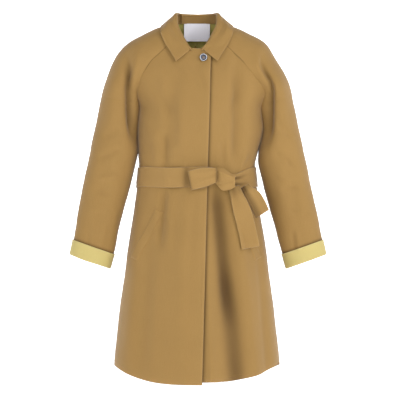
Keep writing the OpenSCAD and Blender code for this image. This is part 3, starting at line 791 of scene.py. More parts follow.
class Cloth:
    """One piece of cloth: closed shells and stitches gathered into one mesh, in mm."""

    def __init__(self, name: str) -> None:
        """Starts an empty piece.

        Args:
            name: the piece's name.
        """
        self.name = name
        self.verts: list[Array] = []
        self.faces: list[Array] = []
        self.uvs: list[Array] = []
        self.masks: list[Array] = []
        self.slots: list[Array] = []
        self.painted_shades: list[Array] = []
        self.count = 0
        self.flat = (0.0, 0.0)
        self.flat_area = 0.0
        self.sharp: list[Array] = []

    def _add(self, verts: Array, faces: Array, uv: Array, mask: Array, slot: int,
             hollow: Array | None = None) -> None:
        """Adds points and faces, with their UV, pressed mask, material index and painted shade."""
        self.verts.append(verts)
        self.faces.append(faces + self.count)
        self.uvs.append(uv)
        self.masks.append(mask)
        self.slots.append(np.full(len(faces), slot))
        self.painted_shades.append(np.zeros(len(verts)) if hollow is None else hollow)
        self.count += len(verts)

    def shell(self, pts: Array, out: Array, thickness: float, wrap: bool = False,
              mask: Array | None = None, slot: int = 0, hollow: Array | float = 0.0) -> Array:
        """Adds a closed shell: the outer grid, the inner one a thickness behind, and rounded rims.

        The rim's middle row stands out from the edge by a third of the thickness.

        Args:
            pts: outer grid in mm.
            out: rough outward direction.
            thickness: in mm.
            wrap: whether the columns close on themselves.
            mask: pressed-edge mask of each point.
            slot: material index.
            hollow: how much painted shade each point gets, from 0 to 1.

        Returns:
            The unit normals of the grid.
        """
        rows, cols = pts.shape[:2]
        n = normals_of(pts, out, wrap)
        inner = pts - n * thickness
        mid = (pts + inner) / 2
        du = np.roll(pts, -1, 1) - np.roll(pts, 1, 1) if wrap else np.gradient(pts, axis=1)
        right_handed = np.sum(np.cross(du, np.gradient(pts, axis=0)) * n) > 0
        idx = np.arange(rows * cols).reshape(rows, cols)
        loops = [idx[0], idx[-1][::-1]] if wrap else [
            np.concatenate([idx[0, :-1], idx[:-1, -1], idx[-1, :0:-1], idx[:0:-1, 0]])]
        quads = grid_faces(rows, cols, wrap, False)
        outer_q = quads[:, ::-1] if right_handed else quads
        total = rows * cols
        verts = [pts.reshape(-1, 3), inner.reshape(-1, 3)]
        faces = [outer_q, outer_q[:, ::-1] + total]
        size = 2 * total
        uv = arc_uv(pts).reshape(-1, 2)
        masks = np.zeros(total) if mask is None else np.broadcast_to(mask, (rows, cols)).ravel()
        deep = np.broadcast_to(np.clip(hollow, 0, 1), (rows, cols)).ravel()
        uvs, marks, painted_shade_parts = [uv, uv], [masks, masks * 0.3], [deep, deep * 0.5]
        flat_pts, flat_mid, flat_n = pts.reshape(-1, 3), mid.reshape(-1, 3), n.reshape(-1, 3)
        for loop in loops:
            p = flat_pts[loop]
            along = np.roll(p, -1, 0) - np.roll(p, 1, 0)
            away = np.cross(along, flat_n[loop])
            size_a = np.linalg.norm(away, axis=1, keepdims=True)
            away = away / np.where(size_a < 1e-9, 1, size_a)
            near = flat_pts[self._step_in(loop, rows, cols, wrap)] - p
            away = away * np.where(np.sum(away * near, 1) > 0, -1, 1)[:, None]
            verts.append(flat_mid[loop] + away * thickness * 0.35)
            k = np.arange(len(loop))
            nxt = (k + 1) % len(loop)
            a, b, m0, m1 = loop[k], loop[nxt], size + k, size + nxt
            self.sharp += [np.stack([a, b], -1) + self.count, np.stack([a, b], -1) + total + self.count]
            first = np.stack([a, b, m1, m0], -1)
            second = np.stack([m0, m1, b + total, a + total], -1)
            rim = np.concatenate([first, second])
            faces.append(rim if right_handed else rim[:, ::-1])
            uvs.append(uv[loop])
            marks.append(masks[loop])
            painted_shade_parts.append(deep[loop])
            size += len(loop)
        self._add(np.concatenate(verts), np.concatenate(faces), np.concatenate(uvs) * MM,
                  np.concatenate(marks), slot, np.concatenate(painted_shade_parts))
        self._measure(pts, wrap)
        return n

    def add_grid(self, pts: Array, out: Array, wrap: bool = True, slot: int = 0) -> None:
        """Adds one surface with no thickness of its own, whose grid closes on itself.

        Args:
            pts: grid in mm, from the middle of the top round to the middle of the underside.
            out: direction the first row faces.
            wrap: whether the columns close on themselves.
            slot: material index.
        """
        rows, cols = pts.shape[:2]
        quads = grid_faces(rows, cols, wrap, False)
        flat = pts.reshape(-1, 3)
        a, b, c = (flat[quads[0, k]] for k in range(3))
        if np.dot(np.cross(b - a, c - a), out) < 0:
            quads = quads[:, ::-1]
        self._add(flat, quads, arc_uv(pts).reshape(-1, 2) * MM, np.zeros(rows * cols), slot)

    @staticmethod
    def _step_in(loop: Array, rows: int, cols: int, wrap: bool) -> Array:
        """Indices of the points one step inside a rim."""
        i, j = loop // cols, loop % cols
        i2 = np.where(i == 0, 1, np.where(i == rows - 1, rows - 2, i))
        j2 = j if wrap else np.where(j == 0, 1, np.where(j == cols - 1, cols - 2, j))
        return i2 * cols + j2

    def _measure(self, pts: Array, wrap: bool) -> None:
        """Keeps the flat size of the largest shell, from its arc lengths and area, in metres."""
        p = np.concatenate([pts, pts[:, :1]], 1) if wrap else pts
        du = np.linalg.norm(np.diff(p, axis=1), axis=2)
        dv = np.linalg.norm(np.diff(p, axis=0), axis=2)
        cross = np.linalg.norm(np.cross(p[1:, :-1] - p[:-1, 1:], p[1:, 1:] - p[:-1, :-1]), axis=2) / 2
        area = float(np.sum(cross))
        if area * MM * MM > self.flat_area:
            self.flat_area = area * MM * MM
            self.flat = (float(du.sum(1).max()) * MM, float(dv.sum(0).max()) * MM)

    def stitches(self, path: Array, normal: Array, pitch: float = 3.4, length: float = 2.3,
                 width: float = 0.55, rise: float = 0.35, slot: int = 1) -> None:
        """Adds a row of stitches: small tapered bars laid end to end along a path on the cloth.

        Args:
            path: points in mm.
            normal: unit normals there.
            pitch: distance from one stitch to the next in mm.
            length, width: size of a stitch in mm.
            rise: how far it stands off the cloth in mm.
            slot: material index.
        """
        seg = np.linalg.norm(np.diff(path, axis=0), axis=1)
        at = np.concatenate([[0], np.cumsum(seg)])
        if at[-1] < pitch * 2:
            return
        s = np.arange(pitch / 2, at[-1] - pitch / 2, pitch)

        def read(values: Array, q: Array) -> Array:
            """Values at distances q along the path."""
            return np.stack([np.interp(q, at, values[:, k]) for k in range(3)], -1)

        p0, p1 = read(path, s - length / 2), read(path, s + length / 2)
        n = read(normal, s)
        n = n / np.linalg.norm(n, axis=1, keepdims=True)
        t = (p1 - p0) / np.linalg.norm(p1 - p0, axis=1, keepdims=True)
        b = np.cross(t, n)
        mid = (p0 + p1) / 2
        pts = [p0 - n * 0.4 - b * width * 0.3, p0 - n * 0.4 + b * width * 0.3,
               p1 - n * 0.4 + b * width * 0.3, p1 - n * 0.4 - b * width * 0.3,
               mid - t * length * 0.3 + n * rise - b * width / 2, mid - t * length * 0.3 + n * rise + b * width / 2,
               mid + t * length * 0.3 + n * rise + b * width / 2, mid + t * length * 0.3 + n * rise - b * width / 2]
        verts = np.stack(pts, 1).reshape(-1, 3)
        box = np.array([[7, 6, 5, 4], [0, 1, 2, 3], [0, 4, 5, 1], [1, 5, 6, 2], [2, 6, 7, 3], [3, 7, 4, 0]])
        faces = (np.arange(len(s))[:, None, None] * 8 + box[None]).reshape(-1, 4)
        self._add(verts, faces, verts[:, [0, 2]] * MM, np.zeros(len(verts)), slot)

    def sew(self, pts: Array, normal: Array, lines: Sequence[tuple[str, float]], wrap: bool = False,
            **size: float) -> None:
        """Adds rows of stitches along the edges of a grid.

        Args:
            pts: the grid in mm.
            normal: its unit normals.
            lines: (edge, distance in from it in mm) of each row.
            wrap: whether the columns close on themselves.
            size: sizes of the stitches, as stitches takes them.
        """
        both = np.concatenate([pts, normal], -1)
        if wrap:
            both = np.concatenate([both, both[:, :1]], 1)
        for edge, distance in lines:
            line = inset(both, edge, distance)
            self.stitches(line[:, :3], line[:, 3:], **size)

    def build(self) -> bpy.types.Object:
        """Makes the object from everything gathered.

        Returns:
            A mesh object in metres, with UVMap, the pressed attribute and the hollow attribute, which holds painted
            shade.
        """
        mesh = bpy.data.meshes.new(self.name)
        faces = np.concatenate(self.faces)
        mesh.from_pydata(settle(np.concatenate(self.verts)) * MM, [], faces.tolist())
        layer = mesh.uv_layers.new(name="UVMap")
        layer.data.foreach_set("uv", np.concatenate(self.uvs)[faces.ravel()].astype(np.float32).ravel())
        att = mesh.attributes.new("pressed", "FLOAT", "POINT")
        att.data.foreach_set("value", np.concatenate(self.masks).astype(np.float32))
        att = mesh.attributes.new("hollow", "FLOAT", "POINT")
        att.data.foreach_set("value", np.concatenate(self.painted_shades).astype(np.float32))
        mesh.polygons.foreach_set("material_index", np.concatenate(self.slots).astype(np.int32))
        mesh.shade_smooth()
        mesh.update()
        self._crease(mesh)
        obj = bpy.data.objects.new(self.name, mesh)
        bpy.context.scene.collection.objects.link(obj)
        return obj

    def _crease(self, mesh: bpy.types.Mesh) -> None:
        """Marks the rims' edges sharp, so that the cloth's face shades evenly up to its edge."""
        if not self.sharp:
            return
        pairs = np.concatenate(self.sharp)
        ends = np.empty(len(mesh.edges) * 2, np.int32)
        mesh.edges.foreach_get("vertices", ends)
        ends = np.sort(ends.reshape(-1, 2), 1).astype(np.int64)
        pairs = np.sort(pairs, 1).astype(np.int64)
        found = np.isin(ends[:, 0] * self.count + ends[:, 1], pairs[:, 0] * self.count + pairs[:, 1])
        mark = mesh.attributes.new("sharp_edge", "BOOLEAN", "EDGE")
        mark.data.foreach_set("value", found)


def inset(pts: Array, side: str, distance: float) -> Array:
    """The line that runs along one edge of a grid, a distance in from it.

    Args:
        pts: grid of points or normals stacked as (rows, cols, k), first three columns the points.
        side: top, bottom, left or right.
        distance: in mm.

    Returns:
        The values along that line.
    """
    g = {"top": pts.swapaxes(0, 1), "bottom": pts[::-1].swapaxes(0, 1),
         "left": pts, "right": pts[:, ::-1]}[side]
    seg = np.linalg.norm(np.diff(g[..., :3], axis=1), axis=2)
    at = np.concatenate([np.zeros((g.shape[0], 1)), np.cumsum(seg, 1)], 1)
    return np.stack([np.stack([np.interp(distance, at[i], g[i, :, k]) for k in range(g.shape[2])])
                     for i in range(g.shape[0])])


@dataclass
class Panel:
    """A front or back panel: rows from the neck and raglan seam down to the hem.

    Each row runs from the inner edge to the outer one, at constant steps of the outline's angle.

    Attributes:
        side: which side of the wearer.
        face: front or back.
        top, bottom: heights of the first and last row at the inner edge.
        offset: distance outside the body outline in mm.
        inner: inner edge's distance past the middle at each height.
        reach: how far the panel runs on under the sleeve, in mm.
        rows, cols: size of the grid.
        lift: extra offset near the front edge in mm.
        raise_hem: how much shorter the layer is at the hem.
        stop: distance from the middle where the panel ends, or None for the side seam.
    """

    side: Side
    face: Face
    top: float
    bottom: float
    inner: Callable[[Array], Array]
    offset: float = 0.0
    reach: float = 14.0
    rows: int = 150
    cols: int = 64
    lift: float = 0.0
    raise_hem: float = 0.0
    stop: float | None = None

    def seam_x(self, z: Array) -> Array:
        """Distance of the raglan seam from the middle at heights z."""
        if self.face is Face.FRONT:
            pts = ((-225, 150), (-175, 152), (-135, 140), (-97, 117), (-56, 75), (-38, 58), (-15, 38))
        else:
            pts = ((-225, 150), (-175, 152), (-135, 140), (-90, 117), (-40, 75), (-12, 60), (8, 50))
        return through(pts)(z)

    def grid(self) -> Array:
        """The panel's points in mm, on the wearer's left side and then mirrored if it is the right."""
        t = np.linspace(0, 1, self.rows) ** ROW_EASE
        ze = mix(self.top, self.bottom, t)
        drop = 12 if self.face is Face.FRONT else 0
        zo = ze - drop * smooth((150 + ze) / 90) * smooth((ze + 150) / 40)
        xe = self.inner(ze)
        ae = BODY.angle(xe, ze)
        seam = BODY.angle(self.seam_x(zo) + self.reach, zo)
        ao = seam * (1 - smooth((-138 - zo) / 40))
        if self.stop is not None:
            ao = np.maximum(ao, BODY.angle(np.full_like(zo, self.stop), zo))
        k = np.linspace(0, 1, self.cols)[None, :]
        a = mix(ae[:, None], ao[:, None], k)
        z = mix(ze[:, None], zo[:, None], k)
        share = np.abs(np.cos(a)) ** (2 / SIDE_POWER)
        z = z + (BODY.hem_rise * share ** 3 + self.raise_hem) * smooth((-600 - z) / 335)
        pts = BODY.at(a, z, self.face, self.offset)
        if self.side is Side.RIGHT:
            pts = pts * np.array([-1.0, 1.0, 1.0])
        if self.lift:
            x = pts[..., 0]
            up = self.lift * smooth((x + 62) / 40) * smooth((-8 - pts[..., 2]) / 40)
            pts = pts + np.stack([0 * up, self.face.value * up, 0 * up], -1)
        return pts

    def out(self, pts: Array) -> Array:
        """Rough outward direction at each point."""
        return pts * np.array([1.0, 1.0, 0.0])

    def draped(self) -> Array:
        """The panel's points with the folds in."""
        pts = self.grid()
        return displace(pts, DRAPE.on_body(pts, self.face), self.out(pts))


@dataclass
class Body:
    """The coat's body: fronts, backs, linings and facings, stitched edges and pockets."""

    thickness: float = 1.6
    lining_t: float = 0.8
    hem: float = -930.0
    underlap: float = 24.0
    split: float = WAIST
    over_lift: float = 5.5
    lining_offset: float = -4.4
    facing_w: float = 60.0
    stitch_in: float = 7.0

    def outer(self, name: str, panel: Panel, wardrobe: Wardrobe, nodes: Sequence[str],
              stitched: Sequence[tuple[str, float]] = (), ends: tuple[int, int] | None = None,
              shadow: bool = False) -> bpy.types.Object:
        """Builds one outer panel with its topstitching.

        Args:
            name: piece name.
            panel: its shape.
            wardrobe: the finishes.
            nodes: CAD nodes it stands for.
            stitched: (edge, distance in mm) of each row of stitches.
            ends: first and last row of the panel kept, for a panel in two pieces.
            shadow: whether a shadow of the over panel's edge is painted on the cloth beside it.

        Returns:
            The piece.
        """
        pts = panel.draped()
        # Painted shade: darker in the valleys of the folds.
        deep = DRAPE.hollow(DRAPE.on_body(panel.grid(), panel.face))
        if shadow:
            # Painted shadow: a dark stripe on the under panel just beside the over panel's edge.
            x, z = pts[..., 0], pts[..., 2]
            deep = deep + 0.9 * np.exp(-(((x - over_edge_x(z)) / 5.5) ** 2)) * smooth((-70 - z) / 20)
        if ends is not None:
            pts, deep = pts[ends[0]:ends[1]], deep[ends[0]:ends[1]]
        rows, cols = pts.shape[:2]
        cloth = Cloth(name)
        low = 1.0 if ends is None or ends[1] >= panel.rows else 0.0
        n = cloth.shell(pts, panel.out(pts), self.thickness, mask=rim_mask(rows, cols, 0.3, low, 1.0, 0.5),
                        hollow=deep)
        cloth.sew(pts, n, stitched)
        return make_piece(cloth, wardrobe, (CAMEL, THREAD), nodes)

    def inner_layer(self, name: str, panel: Panel, wardrobe: Wardrobe, finish: ClothFinish,
                    nodes: Sequence[str]) -> bpy.types.Object:
        """Builds one lining or facing."""
        pts = panel.draped()
        cloth = Cloth(name)
        cloth.shell(pts, panel.out(pts), self.lining_t)
        return make_piece(cloth, wardrobe, (finish,), nodes)

    def front_edge(self, left: bool) -> Callable[[Array], Array]:
        """Inner edge of a front panel: the neck hole, then the front edge past the middle."""
        past = (lambda z: np.full_like(z, -self.underlap)) if left else (lambda z: -over_edge_x(z))

        def edge(z: Array) -> Array:
            """Distance of the edge past the middle at heights z."""
            turn = smooth((-63.5 - z) / 4.5)
            return mix(np.where(z > -66, neck_edge_x(z), 0.0), past(z), turn)

        return edge

    def build(self, wardrobe: Wardrobe) -> None:
        """Builds every piece of the body."""
        over = Panel(Side.RIGHT, Face.FRONT, -20, self.hem, self.front_edge(False), rows=210, cols=84,
                     lift=self.over_lift)
        row_z = mix(over.top, over.bottom, np.linspace(0, 1, over.rows) ** ROW_EASE)
        cut = int(np.argmin(np.abs(row_z - self.split)))
        seams = [("left", self.stitch_in)]
        upper = self.outer("right_front_bodice", over, wardrobe, ["right_front"], seams, (0, cut + 1))
        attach(upper, "coat")
        lower = self.outer("right_front_skirt", over, wardrobe, ["right_skirt_flap"],
                           seams + [("bottom", 12.0)], (cut, over.rows))
        flap_bend(lower)
        under = Panel(Side.LEFT, Face.FRONT, -20, self.hem + 7, self.front_edge(True), rows=200, cols=84)
        obj = self.outer("left_front", under, wardrobe, ["left_front"], [("left", 9.0), ("bottom", 12.0)],
                         shadow=True)
        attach(obj, "coat")
        for side in Side:
            back = Panel(side, Face.BACK, 4, self.hem, lambda z: np.zeros_like(z), rows=180, cols=64)
            tag = side.name.lower()
            obj = self.outer(f"{tag}_back", back, wardrobe, [f"{tag}_back"], [("bottom", 12.0)])
            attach(obj, "coat")
        self.linings(wardrobe)

    def linings(self, wardrobe: Wardrobe) -> None:
        """Builds the linings, facings and the back lining with its pleat."""
        o = self.lining_offset
        for side in Side:
            tag = side.name.lower()
            left = side is Side.LEFT
            stop = self.facing_w
            edge = self.front_edge(left)
            face = Panel(side, Face.FRONT, -56, self.hem, edge, offset=o + 1.2, rows=120, cols=22,
                         raise_hem=6, stop=stop, lift=0 if left else self.over_lift)
            lining = Panel(side, Face.FRONT, -56, self.hem, lambda z: np.full_like(z, stop - 1.0),
                           offset=o, rows=120, cols=44, raise_hem=20, reach=0,
                           lift=0 if left else self.over_lift)
            fly = [] if left else ["flap_facing", "fly_strip"]
            for name, panel, finish, slot, nodes in (
                    (f"{tag}_facing", face, CAMEL_INSIDE, "facing_cloth", fly),
                    (f"{tag}_front_lining", lining, GREEN, "lining", [f"{tag}_pocket_bag"])):
                obj = self.inner_layer(name, panel, wardrobe, finish, [name, *nodes])
                if left:
                    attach(obj, "coat")
                else:
                    flap_bend(obj)
        self.back_lining(wardrobe)

    def back_lining(self, wardrobe: Wardrobe) -> None:
        """Builds the back lining in one width, with a soft pleat down the middle."""
        half = Panel(Side.LEFT, Face.BACK, 5, self.hem, lambda z: np.zeros_like(z), offset=self.lining_offset,
                     rows=130, cols=44, raise_hem=20, reach=0).grid()
        mirror = half[:, :0:-1] * np.array([-1.0, 1.0, 1.0])
        pts = np.concatenate([mirror, half], 1)
        x = pts[..., 0]
        pleat = 4.5 * np.exp(-(((x - 7) / 5) ** 2)) - 3.0 * np.exp(-(((x + 4) / 5) ** 2))
        soft = 1.4 * np.sin(x / 9.0 + pts[..., 2] / 60) * np.exp(-((x / 60) ** 2))
        out = pts * np.array([1.0, 1.0, 0.0])
        below = smooth((-34 - pts[..., 2]) / 26)
        pts = displace(pts, DRAPE.on_body(pts, Face.BACK) - (pleat + soft) * below, out)
        cloth = Cloth("back_lining")
        cloth.shell(pts, out, self.lining_t)
        make_piece(cloth, wardrobe, (GREEN,), ["back_lining"], "coat")


def flap_bend(obj: bpy.types.Object) -> None:
    """Bakes a piece's transform into its mesh."""
    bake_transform(obj)


def make_piece(cloth: Cloth, wardrobe: Wardrobe, finishes: Sequence[ClothFinish],
               nodes: Sequence[str], body: str | None = None) -> bpy.types.Object:
    """Builds a piece of cloth, dresses it and hides the CAD nodes it replaces.

    Args:
        cloth: what it is made of.
        wardrobe: the finishes.
        finishes: its finishes, in the order of its material indices.
        nodes: CAD nodes it stands for.
        body: the body it rides on, or None to leave it unattached.

    Returns:
        The piece.
    """
    obj = cloth.build()
    wardrobe.dress(obj, finishes)
    if nodes:
        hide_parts(*nodes)
    if body is not None:
        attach(obj, body)
    return obj


@dataclass
class Sleeve:
    """A raglan sleeve: the head and upper sleeve, underarm gusset, forearm, cuff and lining.

    Attributes:
        side: which sleeve.
        pivot: the shoulder's (x, z) in mm.
        lean: lean of the arm line in degrees.
        seam: the raglan seam's (x, z) in front, from the neck to the underarm, in mm.
        seam_back: the same at the back.
        contour: the outer contour's (x, z) beside each seam point.
        turns: half angle of each section in degrees; 180 closes it.
        ring_start, upper_end, cuff_top, length: places along the arm line, in mm.
        thickness: of the cloth, in mm.
        segments: points round a ring.
    """

    side: Side
    pivot: tuple[float, float] = (172.0, -106.0)
    lean: float = 11.4
    seam: tuple[tuple[float, float], ...] = (
        (58, -38), (75, -56), (96, -77), (117, -97), (131, -118), (142, -140), (149, -162),
        (152, -185), (152, -208), (150, -228))
    seam_back: tuple[tuple[float, float], ...] = (
        (60, -12), (76, -36), (97, -63), (118, -90), (132, -114), (142, -138), (149, -162),
        (152, -185), (152, -208), (150, -228))
    contour: tuple[tuple[float, float], ...] = (
        (66, 2), (100, -8), (142, -27), (180, -49), (206, -77), (223, -108), (234, -137),
        (243, -166), (249, -190), (253, -210))
    turns: tuple[float, ...] = (76, 82, 90, 97, 104, 114, 128, 146, 165, 180)
    ring_start: float = 109.0
    upper_end: float = 190.0
    cuff_top: float = 482.0
    length: float = 520.0
    thickness: float = 1.6
    segments: int = 72

    def centre(self, s: Array) -> Array:
        """Point on the arm line s mm from the pivot, in the front view."""
        c, n = math.cos(math.radians(self.lean)), math.sin(math.radians(self.lean))
        shift = curve([0, 75, 117, 171, 228, 300, 520], [0, 5, 4, 0.5, -2.2, -0.5, 9])(s)
        return np.stack([self.pivot[0] + s * n + shift, self.pivot[1] - s * c], -1)

    def half_w(self, s: Array) -> Array:
        """Half width of the sleeve."""
        return curve([100, 171, 228, 278, 350, 420, 490, 520], [54, 58, 61.3, 61, 59.5, 57.5, 55, 54.5])(s)

    def half_d(self, s: Array) -> Array:
        """Half depth of the sleeve."""
        return curve([100, 228, 300, 350, 490, 520], [63, 60, 54, 49.5, 37.5, 37])(s)

    def ring_lean(self, s: Array) -> Array:
        """Lean of each ring in degrees."""
        return mix(self.lean, 19.5, smooth((s - 268) / 222))

    def mirror(self, pts: Array) -> Array:
        """Puts points of the left sleeve on this sleeve's side."""
        return pts * np.array([self.side.value, 1.0, 1.0])

    def rings(self, s: Array, psi: Array, start: float, offset: float = 0.0) -> Array:
        """Rings at s mm along the sleeve: x = w cos(psi)^p across the arm line and y = d sin(psi)^p.

        Args:
            s: places along the arm line.
            psi: angles of the points.
            start: -1 to begin at the medial side, 1 at the outer side.
            offset: distance outside the sleeve.

        Returns:
            The points in mm.
        """
        e = start * (self.half_w(s) + offset)[:, None] * spow(np.cos(psi), RING_POWER)[None]
        y = start * (self.half_d(s) + offset)[:, None] * spow(np.sin(psi), RING_POWER)[None]
        lean = np.radians(self.ring_lean(s))[:, None]
        c = self.centre(s)
        return np.stack([c[:, :1] + e * np.cos(lean), y, c[:, 1:] + e * np.sin(lean)], -1)

    def tube(self, s: Array, offset: float = 0.0) -> Array:
        """Closed rings at s mm along the sleeve, from the medial side round by the front."""
        return self.rings(s, np.linspace(0, 2 * math.pi, self.segments, endpoint=False), -1.0, offset)

    def open_rings(self, s: Array, cols: int) -> Array:
        """Rings at s mm along the sleeve, each open at the medial side."""
        return self.rings(s, np.linspace(-1, 1, cols) * math.pi, 1.0)

    def sections(self, q: Array) -> tuple[Array, Array, Array, Array, Array, Array]:
        """Seam points, contour, half angle and depths at places q from 0 at the neck to 1 at the underarm."""
        k = np.linspace(0, 1, len(self.seam))
        f = np.stack([curve(k, [p[i] for p in self.seam])(q) for i in (0, 1)], -1)
        b = np.stack([curve(k, [p[i] for p in self.seam_back])(q) for i in (0, 1)], -1)
        t = np.stack([curve(k, [p[i] for p in self.contour])(q) for i in (0, 1)], -1)
        turn = np.radians(curve(k, self.turns)(q))
        closed = self.half_d(np.array([105.0]))[0]
        near = smooth((q - 0.72) / 0.28)
        sin = np.maximum(np.sin(turn), 0.05)
        d_front = mix(np.minimum(-BODY.y(f[:, 0], f[:, 1], Face.FRONT) / sin, 70.0), closed, near)
        d_back = mix(np.minimum(BODY.y(b[:, 0], b[:, 1], Face.BACK) / sin, 86.0), closed, near)
        return f, b, t, turn, d_front, d_back

    def head_grid(self, q: Array, cols: int) -> Array:
        """Sections from the front seam over the contour to the back seam.

        xz = T + (F - T)(1 - cos psi)/(1 - cos max) and y = -+d sin(psi), psi from max to 0 to max.
        """
        f, b, t, turn, df, db = self.sections(q)
        k = np.linspace(-1, 1, cols)[None, :]
        psi = np.abs(k) * turn[:, None]
        share = ((1 - np.cos(psi)) / (1 - np.cos(turn))[:, None])[..., None]
        front = (k < 0)[..., None]
        target = np.where(front, f[:, None, :], b[:, None, :])
        xz = t[:, None, :] + (target - t[:, None, :]) * share
        d = np.where(k < 0, -df[:, None], db[:, None])
        head = np.stack([xz[..., 0], d * np.sin(psi), xz[..., 1]], -1)
        ring = self.open_rings(self.ring_start - (1 - q) * 175, cols)
        return mix(head, ring, smooth((q - 0.62) / 0.38)[:, None, None])

    def upper_grid(self) -> Array:
        """The whole upper sleeve as one grid, seam to seam: the head, then rings to its end."""
        cols = self.segments + 1
        head = self.head_grid(np.linspace(0, 1, 64), cols)
        rings = self.open_rings(np.linspace(self.ring_start + 3, self.upper_end, 22), cols)
        return np.concatenate([head, rings])

    def axis_out(self, pts: Array) -> Array:
        """Rough outward direction of sleeve points: away from the arm line, on the left side."""
        centre = self.centre(np.maximum(self.along(pts), -20.0))
        return np.stack([pts[..., 0] - centre[..., 0], pts[..., 1], pts[..., 2] - centre[..., 1]], -1)

    def along(self, pts: Array) -> Array:
        """Distance of left-side points along the arm line."""
        c, n = math.cos(math.radians(self.lean)), math.sin(math.radians(self.lean))
        return (pts[..., 0] - self.pivot[0]) * n - (pts[..., 2] - self.pivot[1]) * c

    def folded(self, pts: Array, wrap: bool) -> Array:
        """Sleeve points of the left side moved to this side with the folds in."""
        s = self.along(pts)
        out = self.mirror(self.axis_out(pts))
        here = self.mirror(pts)
        return displace(here, DRAPE.on_sleeve(here, s), out, wrap)

    def build(self, wardrobe: Wardrobe) -> None:
        """Builds the sleeve's pieces."""
        tag = self.side.name.lower()
        self.build_upper(tag, wardrobe)
        self.build_gusset(tag, wardrobe)
        self.build_lower(tag, wardrobe)

    def shoulder_bend(self, obj: bpy.types.Object) -> None:
        """Bakes a piece's transform into its mesh."""
        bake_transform(obj)

    def elbow_bend(self, obj: bpy.types.Object) -> None:
        """Bakes a piece's transform into its mesh."""
        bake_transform(obj)

    def build_upper(self, tag: str, wardrobe: Wardrobe) -> None:
        """The head and upper sleeve, with stitching along both raglan seams."""
        grid = self.upper_grid()
        pts = self.folded(grid, False)
        across = np.linspace(0, 1, grid.shape[1])
        seam = smooth((0.14 - np.minimum(across, across[::-1])) / 0.1)
        flat = self.mirror(grid)
        rows = np.linspace(0, 1, grid.shape[0])[:, None]
        keep = seam[None] * (1 - smooth((rows - 0.6) / 0.2))
        pts = mix(pts, flat, keep[..., None] * 0.8)
        # Painted shade: darker in the folds' valleys, and along both raglan seam edges where the sleeve meets the
        # body.
        deep = DRAPE.hollow(DRAPE.on_sleeve(flat, self.along(grid))) * (1 - keep * 0.8)
        edge = np.minimum(np.arange(grid.shape[1]), np.arange(grid.shape[1])[::-1])[None]
        deep = deep + 0.75 * (edge < 1) * (1 - smooth((rows - 0.62) / 0.1))
        out = self.mirror(self.axis_out(grid))
        cloth = Cloth(f"{tag}_sleeve_upper")
        n = cloth.shell(pts, out, self.thickness,
                        mask=rim_mask(pts.shape[0], pts.shape[1], 0.4, 0.0, 0.4, 0.4), hollow=deep)
        cloth.sew(pts[:66], n[:66], [("left", 2.4), ("right", 2.4)])
        nodes = [f"{tag}_sleeve_upper", f"{tag}_sleeve_head", f"{tag}_raglan_head"]
        self.shoulder_bend(make_piece(cloth, wardrobe, (CAMEL, THREAD), nodes))

    def build_gusset(self, tag: str, wardrobe: Wardrobe) -> None:
        """The underarm part that closes the sleeve against the body."""
        q = np.linspace(0.42, 1, 30)
        f, b, _, turn, df, db = self.sections(q)
        k = np.linspace(-1, 1, 31)[None, :]
        yf, yb = -df * np.sin(turn), db * np.sin(turn)
        y = np.where(k < 0, yf[:, None], yb[:, None]) * np.sin(np.abs(k) * math.pi / 2)
        depth = (1 - np.abs(k) ** 2) * (1 - q[:, None]) * 60
        base = np.where((k < 0)[..., None], f[:, None], b[:, None])
        mid = (f + b)[:, None] / 2
        base = mix(mid, base, np.abs(k)[..., None])
        pts = np.stack([base[..., 0] + depth * 0.1, y, base[..., 1] - depth], -1)
        pts = self.mirror(pts)
        out = np.broadcast_to(np.array([-self.side.value, 0.0, -0.6]), pts.shape)
        cloth = Cloth(f"{tag}_underarm")
        # Painted shade: the whole underarm piece is painted darker, as shade under the arm.
        cloth.shell(pts, out, self.thickness, hollow=0.8)
        self.shoulder_bend(make_piece(cloth, wardrobe, (CAMEL,), []))

    def build_lower(self, tag: str, wardrobe: Wardrobe) -> None:
        """The lower sleeve, its cuff and its lining."""
        s = np.concatenate([np.linspace(self.upper_end, 460, 90), np.linspace(464, self.length - 3, 18)])
        grid = self.tube(s)
        pts = self.folded(grid, True)
        out = self.mirror(self.axis_out(grid))
        cloth = Cloth(f"{tag}_sleeve_lower")
        height = DRAPE.on_sleeve(self.mirror(grid), self.along(grid))
        # Painted shade: darker in the folds' valleys and on the sleeve just under the cuff.
        under = 0.8 * smooth((s - self.cuff_top + 9) / 9)[:, None]
        cloth.shell(pts, out, self.thickness, wrap=True, hollow=DRAPE.hollow(height) + under)
        nodes = [f"{tag}_sleeve_lower"]
        self.elbow_bend(make_piece(cloth, wardrobe, (CAMEL,), nodes))
        self.build_cuff(tag, wardrobe)
        cloth = Cloth(f"{tag}_sleeve_lining")
        grid = self.tube(np.linspace(150, self.length - 5, 70), -4.2)
        cloth.shell(self.folded(grid, True), self.mirror(self.axis_out(grid)), 0.8, wrap=True)
        nodes = [f"{tag}_sleeve_lining", f"{tag}_forearm_lining"]
        self.elbow_bend(make_piece(cloth, wardrobe, (GREEN,), nodes))

    def build_cuff(self, tag: str, wardrobe: Wardrobe) -> None:
        """The turned-back cuff, rolled at both ends and stitched along them."""
        s = np.linspace(self.cuff_top, self.length, 22)
        grid = self.tube(s, 2.6)
        roll = 1.2 * smooth((s - self.length + 5) / 5)[:, None] - 1.0 * smooth((self.cuff_top + 3 - s) / 3)[:, None]
        out = self.mirror(self.axis_out(grid))
        pts = displace(self.mirror(grid), DRAPE.on_sleeve(self.mirror(grid), self.along(grid)) - roll, out, True)
        cloth = Cloth(f"{tag}_cuff")
        n = cloth.shell(pts, out, 1.8, wrap=True, mask=rim_mask(22, self.segments, 1, 1, 0, 0))
        cloth.sew(pts, n, [("top", 3.0), ("bottom", 4.0)], True)
        make_piece(cloth, wardrobe, (YELLOW, THREAD), [f"{tag}_cuff"],
                   f"{tag}_forearm")


